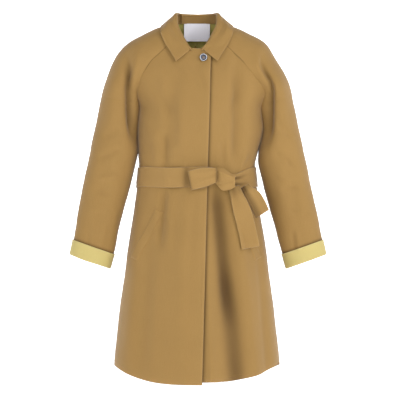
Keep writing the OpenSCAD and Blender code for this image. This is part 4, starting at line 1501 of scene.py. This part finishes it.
@dataclass
class Collar:
    """The shirt collar: a stand and a leaf in two halves.

    Curves are given by the angle from the centre back, in degrees.
    """

    end: float = 165.0
    stand_end: float = 158.0
    thickness: float = 2.2
    fold_x: tuple[tuple[float, float], ...] = (
        (0, 0), (25, 23), (45, 38), (75, 51.5), (90, 53), (112, 52), (140, 36.5), (165, 14))
    fold_y: tuple[tuple[float, float], ...] = (
        (0, 54), (25, 50), (45, 40), (75, 14), (90, -2), (112, -25), (140, -50), (165, -69))
    fold_z: tuple[tuple[float, float], ...] = (
        (0, 29.5), (45, 30.5), (75, 32), (90, 29), (112, 9), (140, -28), (165, -67))
    edge_x: tuple[tuple[float, float], ...] = (
        (0, 0), (30, 46), (60, 79), (90, 94), (100, 93), (165, 53))
    edge_z: tuple[tuple[float, float], ...] = (
        (0, -18), (60, -13), (85, -5), (95, -4), (100, -12), (165, -97))

    def fold(self, f: Array) -> Array:
        """Points of the fold line."""
        return np.stack([through(t)(f) for t in (self.fold_x, self.fold_y, self.fold_z)], -1)

    def edge(self, f: Array) -> Array:
        """Points of the leaf's outer edge, 6 mm outside the body."""
        x, z = through(self.edge_x)(f), through(self.edge_z)(f)
        y = np.where(f > 90, BODY.y(x, z, Face.FRONT, 8.0), BODY.y(x, z, Face.BACK, 8.0))
        near = np.exp(-(((f - 90) / 10) ** 2))
        return np.stack([x, y * (1 - near), z], -1)

    def neck(self, f: Array) -> Array:
        """Points of the neck seam."""
        c, s = np.cos(np.radians(f)), np.sin(np.radians(f))
        z = np.where(c > 0, 5.0 * c + 1, 1 - 70 * np.clip(-c, 0, 1) ** 1.5)
        return np.stack([65 * s, np.where(c > 0, 55 * c, 58 * c), z], -1)

    def leaf_grid(self, rows: int, cols: int) -> Array:
        """The leaf from inside the roll, over the fold and down to its edge.

        Across, points go straight from the fold to the edge, pushed out by a sine hump and kept
        outside the body; the first fifth is the round roll.
        """
        f = np.linspace(0, self.end, rows)
        v = np.linspace(-0.14, 1, cols)[None, :, None]
        p, q = self.fold(f)[:, None], self.edge(f)[:, None]
        flat = np.array([1.0, 1.0, 0.0])
        away = p * flat
        away = away / np.linalg.norm(away, axis=-1, keepdims=True)
        t = np.clip(v, 0, 1)
        pts = p + (q - p) * t
        hump = 5.0 * np.sin(math.pi * t ** 0.7) * (1 - t) ** 0.5
        roll = smooth(t / 0.12)
        slim = 1 - 0.75 * np.exp(-(((f - 84) / 22) ** 2))[:, None, None]
        crest = 2.2 * np.sin(math.pi * np.clip(t / 0.2, 0, 1))
        pts = pts + away * (hump + 2.5 * roll) * slim + np.array([0, 0, 1.0]) * crest
        under = np.clip(-v / 0.14, 0, 1)
        pts = pts - away * 3.0 * under - np.array([0, 0, 5.0]) * under ** 1.5
        x, z = pts[..., 0], pts[..., 2]
        front = f[:, None] > 90
        rest = np.where(front, BODY.y(x, z, Face.FRONT, 8.2), BODY.y(x, z, Face.BACK, 8.2))
        held = smooth((t[..., 0] - 0.25) / 0.4)
        held = np.maximum(held, smooth((f[:, None] - 146) / 14) * (z < -50))
        side = 1 - np.exp(-(((f[:, None] - 90) / 12) ** 2)) * (t[..., 0] > 0.3)
        y = np.where(front, np.minimum(pts[..., 1], rest), np.maximum(pts[..., 1], rest))
        pts = np.stack([x, mix(pts[..., 1], y, held * side), z], -1)
        return pts

    def build(self, wardrobe: Wardrobe) -> None:
        """Builds the stand and both halves of the leaf."""
        for side in Side:
            tag = side.name.lower()
            grid = self.leaf_grid(96, 36) * np.array([side.value, 1.0, 1.0])
            wave = ripple(grid[..., 0] * MM, grid[..., 2] * MM, 0.06, 7.0 + side.value) * 0.5
            out = grid * np.array([1.0, 1.0, 0.0]) + np.array([0, 0, 8.0])
            grid = displace(grid, wave, out)
            cloth = Cloth(f"{tag}_collar")
            n = cloth.shell(grid, out, self.thickness, mask=rim_mask(96, 36, 0, 1.0, 0.2, 1.0))
            cloth.sew(grid, n, [("right", 5.0), ("bottom", 5.0)])
            obj = make_piece(cloth, wardrobe, (CAMEL, THREAD),
                             ["collar_leaf", f"{tag}_collar_wing"])
            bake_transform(obj)
        self.build_stand(wardrobe)

    def build_stand(self, wardrobe: Wardrobe) -> None:
        """Builds the stand between the neck seam and the fold, stitched along the seam."""
        f = np.linspace(-self.stand_end, self.stand_end, 150)
        a = np.abs(f)
        sign = np.where(f < 0, -1.0, 1.0)[:, None]
        p, q = self.neck(a), self.fold(a)
        v = np.linspace(0, 1, 14)[None, :, None]
        pts = p[:, None] + (q - p)[:, None] * v
        pts = pts * np.stack([sign, np.ones_like(sign), np.ones_like(sign)], -1)
        away = pts * np.array([1.0, 1.0, 0.0])
        away = away / np.linalg.norm(away, axis=-1, keepdims=True)
        pts = pts - away * 1.6 - np.array([0, 0, 1.0]) * (1 + 2 * v)
        cloth = Cloth("collar_stand")
        n = cloth.shell(pts, -away, 1.6, mask=rim_mask(150, 14, 0, 0, 0.8, 0))
        cloth.sew(pts, n, [("left", 2.5)])
        make_piece(cloth, wardrobe, (CAMEL_INSIDE, THREAD), ["collar_stand"], "coat")


@dataclass
class Belt:
    """The waist belt: its band, side loops, knot, half bow and two hanging tails."""

    top: float = -372.0
    bottom: float = -422.0
    thickness: float = 3.0
    knot: tuple[float, float] = (70.0, -400.0)
    bow_x: tuple[float, float] = (-19.0, 52.0)

    def offset(self, a: Array, face: Face) -> Array:
        """How far the band stands off the body at angle a of the outline."""
        x = BODY.w(np.array(WAIST)) * spow(np.cos(a), 2 / SIDE_POWER)
        over = 6.6 * smooth((112 - np.abs(x)) / 50) if face is Face.FRONT else 0 * x
        return 3.0 + over

    def band_grid(self, cols: int, rows: int) -> Array:
        """The band round the waist, gathered towards the knot."""
        g = np.linspace(0, 2 * math.pi, cols, endpoint=False)[None, :]
        v = np.linspace(0, 1, rows)[:, None]
        front = g > math.pi
        a = np.where(front, 2 * math.pi - g, g)
        x0 = BODY.w(np.array(WAIST)) * spow(np.cos(a), 2 / SIDE_POWER)
        gather = np.exp(-(((x0 - 92) / np.where(x0 > 92, 30, 40)) ** 2)) * front
        tucked = np.exp(-(((x0 - 46) / 22) ** 2)) * front
        z = mix(self.top - 17 * gather, self.bottom - gather + 13 * tucked, v)
        z = z + 1.4 * np.sin(a * 5 + 1) * np.ones_like(v)
        pf = BODY.at(a + 0 * v, z, Face.FRONT, self.offset(a, Face.FRONT))
        pb = BODY.at(a + 0 * v, z, Face.BACK, self.offset(a, Face.BACK))
        pts = np.where(np.broadcast_to(front, z.shape)[..., None], pf, pb)
        out = pts * np.array([1.0, 1.0, 0.0])
        fold = gather * 3.0 * np.sin(v * math.pi * 4.2 + 0.6) + 0.9 * np.sin(v * math.pi) ** 2
        slow = ripple(pts[..., 0] * MM, pts[..., 2] * MM, 0.09, 4.0) * 0.7
        return displace(pts, fold + slow, out, True)

    def front_y(self, x: float, z: float) -> float:
        """Y of the band's face in front."""
        a = BODY.angle(np.array(x), np.array(z))
        return float(BODY.y(np.array(x), np.array(z), Face.FRONT, float(self.offset(a, Face.FRONT))))

    def finish(self, cloth: Cloth, wardrobe: Wardrobe, nodes: Sequence[str], held: str,
               body: str) -> bpy.types.Object:
        """Builds, dresses and attaches one piece of the belt."""
        return make_piece(cloth, wardrobe, (BELT, THREAD), nodes, body)

    def build(self, wardrobe: Wardrobe) -> None:
        """Builds all the pieces of the belt."""
        rows, cols = 18, 260
        pts = self.band_grid(cols, rows)
        cloth = Cloth("belt_band")
        x, front = pts[..., 0], pts[..., 1] < 0
        # Painted shade: darker in the valleys of the gathers by the knot and on the band just left of the bow.
        pinch = np.exp(-(((x - 92) / 26) ** 2)) * front
        beside = np.exp(-(((x + 28) / 9) ** 2)) * front
        stripe = np.maximum(0, -np.sin(np.linspace(0, 1, rows)[:, None] * math.pi * 4.2 + 0.6))
        n = cloth.shell(pts, pts * np.array([1.0, 1.0, 0.0]), self.thickness, wrap=True,
                        mask=rim_mask(rows, cols, 1, 1, 0, 0), hollow=pinch * stripe + 0.5 * beside)
        cloth.sew(pts, n, [("top", 4.5), ("bottom", 4.5)], True)
        self.finish(cloth, wardrobe, ["belt_band"], "stretched", "coat")
        self.build_loops(wardrobe)
        self.build_knot(wardrobe)
        self.build_bow(wardrobe)
        for spec in (LONG_TAIL, SHORT_TAIL):
            cloth = spec.cloth(self.thickness)
            self.finish(cloth, wardrobe, [spec.name], "hung", spec.body)

    def build_loops(self, wardrobe: Wardrobe) -> None:
        """Thread-fine belt loops over the band at both side seams."""
        for side in Side:
            v = np.linspace(0, 1, 40)[:, None]
            z = mix(self.top + 7, self.bottom - 7, v)
            w = BODY.w(z)
            off = 0.6 + 4.0 * smooth(np.minimum(v, 1 - v) / 0.16)
            y = np.linspace(-5.2, 5.2, 8)[None, :]
            x = (w + off) * (1 - (np.abs(y) / 100) ** SIDE_POWER)
            pts = np.stack([side.value * x + 0 * y, y + 0 * v, z + 0 * y], -1)
            cloth = Cloth(f"{side.name.lower()}_belt_loop")
            cloth.shell(pts, np.broadcast_to([side.value, 0.0, 0.0], pts.shape), 0.9)
            self.finish(cloth, wardrobe, ["belt_loops"], "stretched", "coat")

    def build_knot(self, wardrobe: Wardrobe) -> None:
        """The knot: a pinched band wrapped from above to below, with creases."""
        u = np.linspace(-1, 1, 48)[None, :]
        v = np.linspace(0, 1, 44)[:, None]
        x0 = self.knot[0] + 2.5
        y0 = self.front_y(self.knot[0] - 20, self.knot[1]) - 1.0
        top = -373.0 - 19.0 * smooth((u + 0.35) / 1.35)
        low = curve([-1, -0.15, 0.45, 1], [-412, -432, -430, -423])(u)
        x = x0 + u * (26.0 - 3.0 * np.sin(math.pi * v)) + 2.5 * np.sin(math.pi * v)
        z = mix(top, low, v)
        crease = 1.4 * np.exp(-(((z + 384 + 0.35 * (x - 60)) / 4) ** 2))
        crease = crease - 1.2 * np.exp(-(((z + 414 - 0.2 * (x - 60)) / 3) ** 2))
        bulge = np.abs(np.sin(math.pi * np.clip(v * 0.94 + 0.03, 0, 1))) ** 0.55
        y = y0 + 2.0 - (12.0 * bulge + crease) * (1 - 0.42 * np.abs(u) ** 3)
        pts = np.stack([x, y, z], -1)
        cloth = Cloth("belt_knot")
        out = np.broadcast_to([0.0, -1.0, 0.0], pts.shape)
        n = cloth.shell(pts, out, 2.6, mask=rim_mask(44, 48, 0, 0, 1, 0.6))
        cloth.sew(pts, n, [("left", 4.0), ("right", 4.0)])
        self.finish(cloth, wardrobe, ["belt_knot"], "folded", "coat")

    def build_bow(self, wardrobe: Wardrobe) -> None:
        """The half bow: one loop of belt laid flat, narrow where it enters the knot."""
        x0, x1 = self.bow_x
        half = 6.5
        y0 = self.front_y(0, -428) - half - 2.0
        g = np.linspace(0, 2 * math.pi, 120, endpoint=False)[None, :]
        v = np.linspace(-1, 1, 22)[:, None]
        c, s = np.cos(g), np.sin(g)
        t = (1 - spow(c, 0.55)) / 2
        x = mix(x1, x0, t)
        tall = curve([0, 0.6, 1], [17.5, 24.3, 23.5])(t)
        z = curve([0, 0.6, 1], [-391.5, -399.5, -406.5])(t) + v * tall - 3.4 * (s > 0) * (1 - t) * np.abs(s)
        y = y0 + spow(s, 0.75) * half * (0.55 + 0.45 * smooth(t / 0.5)) + 1.2 * np.sin(v * 7 + 1) * (1 - t)
        x = x - v * 4.5 * t
        pts = np.stack(np.broadcast_arrays(x, y, z), -1)
        out = np.stack(np.broadcast_arrays(x - (x0 + x1) / 2, (y - y0) * 4, 0 * z), -1)
        cloth = Cloth("belt_bow")
        # Painted shade: darker where the loop enters the knot, on its back half and at its far bend.
        deep = 0.7 * np.exp(-((t / 0.06) ** 2)) + 0.6 * smooth(s / 0.3) + 0.35 * smooth((t - 0.9) / 0.1) + 0 * v
        n = cloth.shell(pts, out, 2.4, wrap=True, mask=rim_mask(22, 120, 1, 1, 0, 0), hollow=deep)
        cloth.sew(pts, n, [("top", 4.0), ("bottom", 4.0)], True)
        self.finish(cloth, wardrobe, ["belt_bow"], "folded", "coat")


@dataclass(frozen=True)
class Tail:
    """A hanging belt end.

    Attributes:
        name: piece and CAD node name.
        body: body it rides on.
        start, end: (x, z) of its middle line's ends in mm.
        widths: widths at the start and end.
        back: how much further back it hangs, in mm.
        slant: how much lower its left corner is, in mm.
    """

    name: str
    body: str
    start: tuple[float, float]
    end: tuple[float, float]
    widths: tuple[float, float]
    back: float
    slant: float

    def cloth(self, thickness: float) -> Cloth:
        """Builds the cloth: rows down the tail, gathered at the top, with soft length-wise folds."""
        t = np.linspace(0, 1, 60)[:, None]
        k = np.linspace(-1, 1, 26)[None, :]
        width = mix(self.widths[0], self.widths[1], smooth(t / 0.45))
        line = np.array([self.end[0] - self.start[0], self.end[1] - self.start[1]])
        length = float(np.hypot(*line))
        d = line / length
        across = np.array([-d[1], d[0]])
        bow = 4.0 * np.sin(math.pi * t)
        cx = mix(self.start[0], self.end[0], t) + across[0] * bow
        cz = mix(self.start[1], self.end[1], t) + across[1] * bow
        slant = self.slant * t ** 6 * k
        x = cx + across[0] * width / 2 * k + d[0] * slant
        z = cz + across[1] * width / 2 * k + d[1] * slant
        surface = BODY.y(x, z, Face.FRONT, 0.0)
        near = -103.0 + self.back
        fold = DRAPE.on_body(np.stack([x, surface, z], -1), Face.FRONT)
        y = np.minimum(surface - 7.0 + self.back - np.maximum(fold, 0), near)
        wave = 2.6 * np.sin(k * 3.4 + 0.8) * (1 - smooth(t / 0.55)) + 1.2 * np.sin(t * 7 + k)
        pts = np.stack([x, y - wave - 3.5 * t ** 3, z], -1)
        cloth = Cloth(self.name)
        # Painted shade: darker at the top under the knot and, on the tail hung further back, down its left side,
        # where the other tail casts shadow.
        shade = 0.5 * (1 - smooth(t / 0.25)) + (self.back > 0) * 0.75 * smooth((0.2 - k) / 1.0)
        n = cloth.shell(pts, np.broadcast_to([0.0, -1.0, 0.0], pts.shape), thickness,
                        mask=rim_mask(60, 26, 0, 1, 1, 1), hollow=shade)
        cloth.sew(pts, n, [("left", 4.5), ("right", 4.5), ("bottom", 4.5)])
        return cloth


LONG_TAIL = Tail("belt_tail_long", "long_tail", (95.5, -422.0), (138.5, -578.0), (29.0, 44.0), 0.0, 2.0)
SHORT_TAIL = Tail("belt_tail_short", "short_tail", (123.5, -420.0), (168.0, -491.0), (21.0, 38.5), 5.5, 0.0)


@dataclass
class Trims:
    """Small parts: pocket welts, neck label, loop, top button and hidden buttons."""

    welt_top: tuple[float, float] = (107.0, -477.0)
    welt_end: tuple[float, float] = (171.0, -604.0)
    welt_w: float = 26.0
    label_w: float = 67.0
    label_h: float = 46.0
    fly_count: int = 5

    def build(self, wardrobe: Wardrobe) -> None:
        """Builds every trim."""
        for side in Side:
            self.welt(side, wardrobe)
        self.label(wardrobe)
        self.loop(wardrobe)
        self.buttons(wardrobe)

    def welt(self, side: Side, wardrobe: Wardrobe) -> None:
        """A slanted pocket welt, following the drape of the panel under it."""
        u = np.linspace(0, 1, 60)[:, None]
        v = np.linspace(0, 1, 14)[None, :]
        a, b = np.array(self.welt_top), np.array(self.welt_end)
        d = (b - a) / np.linalg.norm(b - a)
        across = np.array([d[1], -d[0]])
        x = mix(a[0], b[0], u) + across[0] * self.welt_w * 0.8 * v
        z = mix(a[1], b[1], u) + across[1] * self.welt_w * 0.8 * v
        x = side.value * x
        base = np.stack([x, BODY.y(x, z, Face.FRONT), z], -1)
        out = base * np.array([1.0, 1.0, 0.0])
        rise = 2.6 * smooth(np.minimum(np.minimum(v / 0.1, (1 - v) / 0.05), np.minimum(u, 1 - u) / 0.03)) - 0.5
        pts = displace(base, DRAPE.on_body(base, Face.FRONT) + rise, out)
        tag = side.name.lower()
        cloth = Cloth(f"{tag}_pocket_welt")
        n = cloth.shell(pts, out, 1.4, mask=rim_mask(60, 14, 0.3, 0.3, 0.3, 0.3))
        cloth.sew(pts, n, [("left", 3.5), ("top", 3.5), ("bottom", 3.5), ("right", 3.5)])
        make_piece(cloth, wardrobe, (CAMEL, THREAD), [f"{tag}_pocket_welt"],
                   "coat")

    def label(self, wardrobe: Wardrobe) -> None:
        """The blank satin neck label, with border stitching and green corner tacks."""
        x = np.linspace(-1, 1, 40)[None, :] * self.label_w / 2
        t = np.linspace(0, 1, 28)[:, None]
        z = mix(4.5, 4.5 - self.label_h, t)
        y = 50.5 - 0.5 * np.cos(x / 12) - (x / 34) ** 2 * 3.0 + 3.0 * t + 0.7 * np.sin(x / 9 + t * 3)
        pts = np.stack(np.broadcast_arrays(x, y, z), -1)
        out = np.broadcast_to([0.0, -1.0, 0.0], pts.shape)
        cloth = Cloth("neck_label")
        n = cloth.shell(pts, out, 0.6, mask=rim_mask(28, 40, 1, 1, 1, 1))
        cloth.sew(pts, n, [("top", 2.2), ("bottom", 2.2), ("left", 2.2), ("right", 2.2)],
                  pitch=2.2, length=1.5, width=0.4, rise=0.2)
        for i in (2, -3):
            for j in (2, -3):
                p, m = pts[i, j], n[i, j]
                for k in range(-1, 2):
                    path = p + np.array([[-3.0, 0, k * 0.9], [0, 0, k * 0.9], [3.0, 0, k * 0.9]])
                    cloth.stitches(path, np.broadcast_to(m, path.shape), pitch=2.2, length=2.2, width=0.8, slot=2)
        make_piece(cloth, wardrobe, (LABEL, LABEL_THREAD, TACK), ["neck_label"], "coat")

    def loop(self, wardrobe: Wardrobe) -> None:
        """The small cloth loop inside the stand."""
        low, high = lo("neck_loop") / MM, hi("neck_loop") / MM
        t = np.linspace(0, 1, 30)[:, None]
        k = np.linspace(-1, 1, 8)[None, :]
        a = np.array([low[0], high[1]])
        b = np.array([high[0], low[1]])
        mid = (a + b) / 2
        d = (b - a) / np.linalg.norm(b - a)
        hump = 2.2 * np.sin(math.pi * t)
        x = mid[0] + d[0] * 5.5 * k + abs(d[1]) * hump
        y = mid[1] + d[1] * 5.5 * k - abs(d[0]) * hump
        z = mix(high[2], low[2], t) + 0 * k
        pts = np.stack(np.broadcast_arrays(x, y, z), -1)
        cloth = Cloth("neck_loop")
        cloth.shell(pts, np.broadcast_to([0.7, -0.7, 0.0], pts.shape), 1.4, mask=rim_mask(30, 8, 1, 1, 1, 1))
        make_piece(cloth, wardrobe, (CAMEL,), ["neck_loop"], "coat")

    def buttons(self, wardrobe: Wardrobe) -> None:
        """The navy top button, its pale rim and cross of thread, the hidden buttons, and the thread finish of the
        CAD shank.
        """
        low, high = lo("top_button") / MM, hi("top_button") / MM
        cx, cz = (low[0] + high[0]) / 2, (low[2] + high[2]) / 2
        r, back, front = (high[0] - low[0]) / 2, high[1], low[1]
        profile = np.array([(0.0, front + 1.6), (r * 0.5, front + 1.5), (r * 0.66, front + 1.1),
                            (r * 0.74, front + 0.3), (r * 0.84, front), (r * 0.93, front + 0.25),
                            (r, front + 1.2), (r, back - 1.4), (r * 0.9, back - 0.3), (r * 0.5, back), (0.0, back)])
        g = np.linspace(0, 2 * math.pi, 72, endpoint=False)
        obj = Lathe("top_button", profile, (cx, cz), g).build()
        wardrobe.dress(obj, (NAVY,))
        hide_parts("top_button")
        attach(obj, "button")
        rim = np.array([(r * 0.80, front - 0.12), (r * 0.845, front - 0.3), (r * 0.89, front - 0.1),
                        (r * 0.90, front + 0.5), (r * 0.79, front + 0.5), (r * 0.80, front - 0.12)])
        obj = Lathe("button_rim", rim, (cx, cz), g).build()
        wardrobe.dress(obj, (PALE_RIM,))
        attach(obj, "button")
        cloth = Cloth("button_thread")
        for k in (-1, 1):
            path = np.array([[cx - 3 * k, front + 1.2, cz - 3], [cx, front + 0.6, cz],
                             [cx + 3 * k, front + 1.2, cz + 3]])
            cloth.stitches(path, np.broadcast_to([0.0, -1.0, 0.0], path.shape), pitch=4.0, length=3.8,
                           width=1.1, rise=0.6, slot=0)
        obj = cloth.build()
        wardrobe.dress(obj, (THREAD,))
        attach(obj, "button")
        self.hidden_buttons(wardrobe)
        node = cad_node("top_button_shank")
        node.data.materials.clear()
        node.data.materials.append(wardrobe.made[THREAD.name])

    def hidden_buttons(self, wardrobe: Wardrobe) -> None:
        """The small buttons on the under panel, behind the fly, tilted with the cloth."""
        low, high = lo("fly_buttons") / MM, hi("fly_buttons") / MM
        cx, r = (low[0] + high[0]) / 2, (high[0] - low[0]) / 2
        g = np.linspace(0, 2 * math.pi, 40, endpoint=False)
        ring = np.array([0.02, 0.6, 0.75, 0.95, 1.0, 1.0, 0.02])[:, None] * r
        rise = np.array([1.5, 1.5, 2.0, 2.0, 1.4, 0.7, 0.7])[:, None]
        cloth = Cloth("fly_buttons")
        for z0 in np.linspace(high[2] - r, low[2] + r, self.fly_count):
            x, z = cx + ring * np.cos(g), z0 + ring * np.sin(g)
            base = np.stack([x, BODY.y(x, z, Face.FRONT), z], -1)
            fold = DRAPE.on_body(base, Face.FRONT)
            pts = base + np.stack([0 * x, -(fold + rise), 0 * x], -1)
            cloth.add_grid(pts, np.array([0.0, -1.0, 0.0]))
        obj = cloth.build()
        wardrobe.dress(obj, (NAVY,))
        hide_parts("fly_buttons")
        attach(obj, "coat")


def cad_node(name: str) -> bpy.types.Object:
    """The CAD object of a node."""
    return next(o for o in bpy.context.scene.objects if o.get("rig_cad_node") == name)


@dataclass
class Lathe:
    """A turned piece: a closed profile of (radius, y) turned about an axis along y."""

    name: str
    profile: Array
    centre: tuple[float, float]
    angles: Array

    def build(self) -> bpy.types.Object:
        """Turns the profile: x = cx + r cos g, z = cz + r sin g."""
        rows, cols = len(self.profile), len(self.angles)
        r, y = self.profile[:, :1], self.profile[:, 1:]
        x = self.centre[0] + r * np.cos(self.angles)[None]
        z = self.centre[1] + r * np.sin(self.angles)[None]
        pts = np.stack([x, y + 0 * x, z], -1).reshape(-1, 3) * MM
        faces = grid_faces(rows, cols, True, False)
        mesh = bpy.data.meshes.new(self.name)
        mesh.from_pydata(pts, [], faces.tolist())
        mesh.validate()
        work = bmesh.new()
        work.from_mesh(mesh)
        bmesh.ops.remove_doubles(work, verts=work.verts, dist=1e-7)
        bmesh.ops.recalc_face_normals(work, faces=work.faces)
        work.to_mesh(mesh)
        work.free()
        mesh.uv_layers.new(name="UVMap")
        mesh.shade_smooth()
        obj = bpy.data.objects.new(self.name, mesh)
        bpy.context.scene.collection.objects.link(obj)
        return obj


# ---------------------------------------------------------------- stage


@dataclass(frozen=True)
class Stage:
    """A round pale sweep, soft lights and the camera.

    Attributes:
        distance: camera distance in metres.
        aim: (x, z) the camera looks at.
        span: height of the view at the coat, in metres.
        floor: height of the floor in metres.
        beyond: how far behind the camera the floor curves up, in metres.
        bend: radius of the curve in metres.
        wall: height of the wall's top over the floor, in metres.
    """

    distance: float = 10.0
    aim: tuple[float, float] = (0.008, -0.456)
    span: float = 1.04
    floor: float = -1.06
    beyond: float = 6.0
    bend: float = 1.4
    wall: float = 9.0

    def build(self) -> None:
        """Builds the sweep, the lights, the world and the camera."""
        self.sweep()
        self.light("key", (2.2, -2.4, 1.3), 1.2, 40)
        self.light("fill", (-0.4, -4.2, 0.9), 1.6, 19)
        self.light("top", (0.3, -1.0, 2.4), 1.4, 12)
        world = bpy.data.worlds.new("studio")
        bpy.context.scene.world = world
        world.use_nodes = True
        back = world.node_tree.nodes["Background"]
        back.inputs[0].default_value = (1, 1, 1, 1)
        back.inputs[1].default_value = 0.2
        cam = bpy.data.cameras.new("front")
        cam.sensor_width = 36
        cam.lens = 36 * self.distance / self.span
        obj = bpy.data.objects.new("front", cam)
        obj.location = (self.aim[0], -self.distance, self.aim[1])
        obj.rotation_euler = (math.pi / 2, 0, 0)
        bpy.context.scene.collection.objects.link(obj)
        bpy.context.scene.camera = obj
        bpy.context.scene.view_settings.view_transform = "Standard"

    def light(self, name: str, at: tuple[float, float, float], size: float, power: float) -> None:
        """A square soft light aimed at the coat's chest."""
        lamp = bpy.data.lights.new(name, "AREA")
        lamp.size, lamp.energy = size, power
        obj = bpy.data.objects.new(name, lamp)
        obj.location = at
        aim = np.array([0.0, 0.0, -0.45]) - np.array(at)
        pitch = math.atan2(math.hypot(aim[0], aim[1]), -aim[2])
        obj.rotation_euler = (pitch, 0, math.atan2(aim[1], aim[0]) - math.pi / 2)
        bpy.context.scene.collection.objects.link(obj)

    def sweep(self) -> None:
        """Round floor that curves up into a wall: a profile (straight, quarter circle, straight) turned."""
        a = np.linspace(0, math.pi / 2, 16)
        flat = self.distance + self.beyond
        r = np.concatenate([[0.002, self.distance / 2], flat + self.bend * np.sin(a), [flat + self.bend]])[:, None]
        z = np.concatenate([[0.0, 0.0], self.bend * (1 - np.cos(a)), [self.wall]])[:, None] + self.floor
        g = np.linspace(0, 2 * math.pi, 72, endpoint=False)[None]
        pts = np.stack(np.broadcast_arrays(r * np.cos(g), r * np.sin(g), z), -1)
        mesh = bpy.data.meshes.new("sweep")
        mesh.from_pydata(pts.reshape(-1, 3), [], grid_faces(len(r), 72, True, True).tolist())
        mesh.shade_smooth()
        obj = bpy.data.objects.new("sweep", mesh)
        bpy.context.scene.collection.objects.link(obj)
        mat = bpy.data.materials.new("pale_sweep")
        mat.use_nodes = True
        shader = mat.node_tree.nodes["Principled BSDF"]
        shader.inputs["Base Color"].default_value = (0.94, 0.94, 0.94, 1)
        shader.inputs["Roughness"].default_value = 0.9
        shader.inputs["Emission Color"].default_value = (1, 1, 1, 1)
        shader.inputs["Emission Strength"].default_value = 0.78
        mesh.materials.append(mat)


class Coat:
    """The whole coat."""

    def build(self) -> None:
        """Builds every sub-assembly and the stage."""
        wardrobe = Wardrobe()
        Body().build(wardrobe)
        for side in Side:
            Sleeve(side).build(wardrobe)
        Collar().build(wardrobe)
        Belt().build(wardrobe)
        Trims().build(wardrobe)
        Stage().build()


def main() -> None:
    """Builds the coat."""
    logging.basicConfig(level=logging.INFO, format="%(name)s %(message)s")
    Coat().build()


if __name__ == "__main__":
    main()
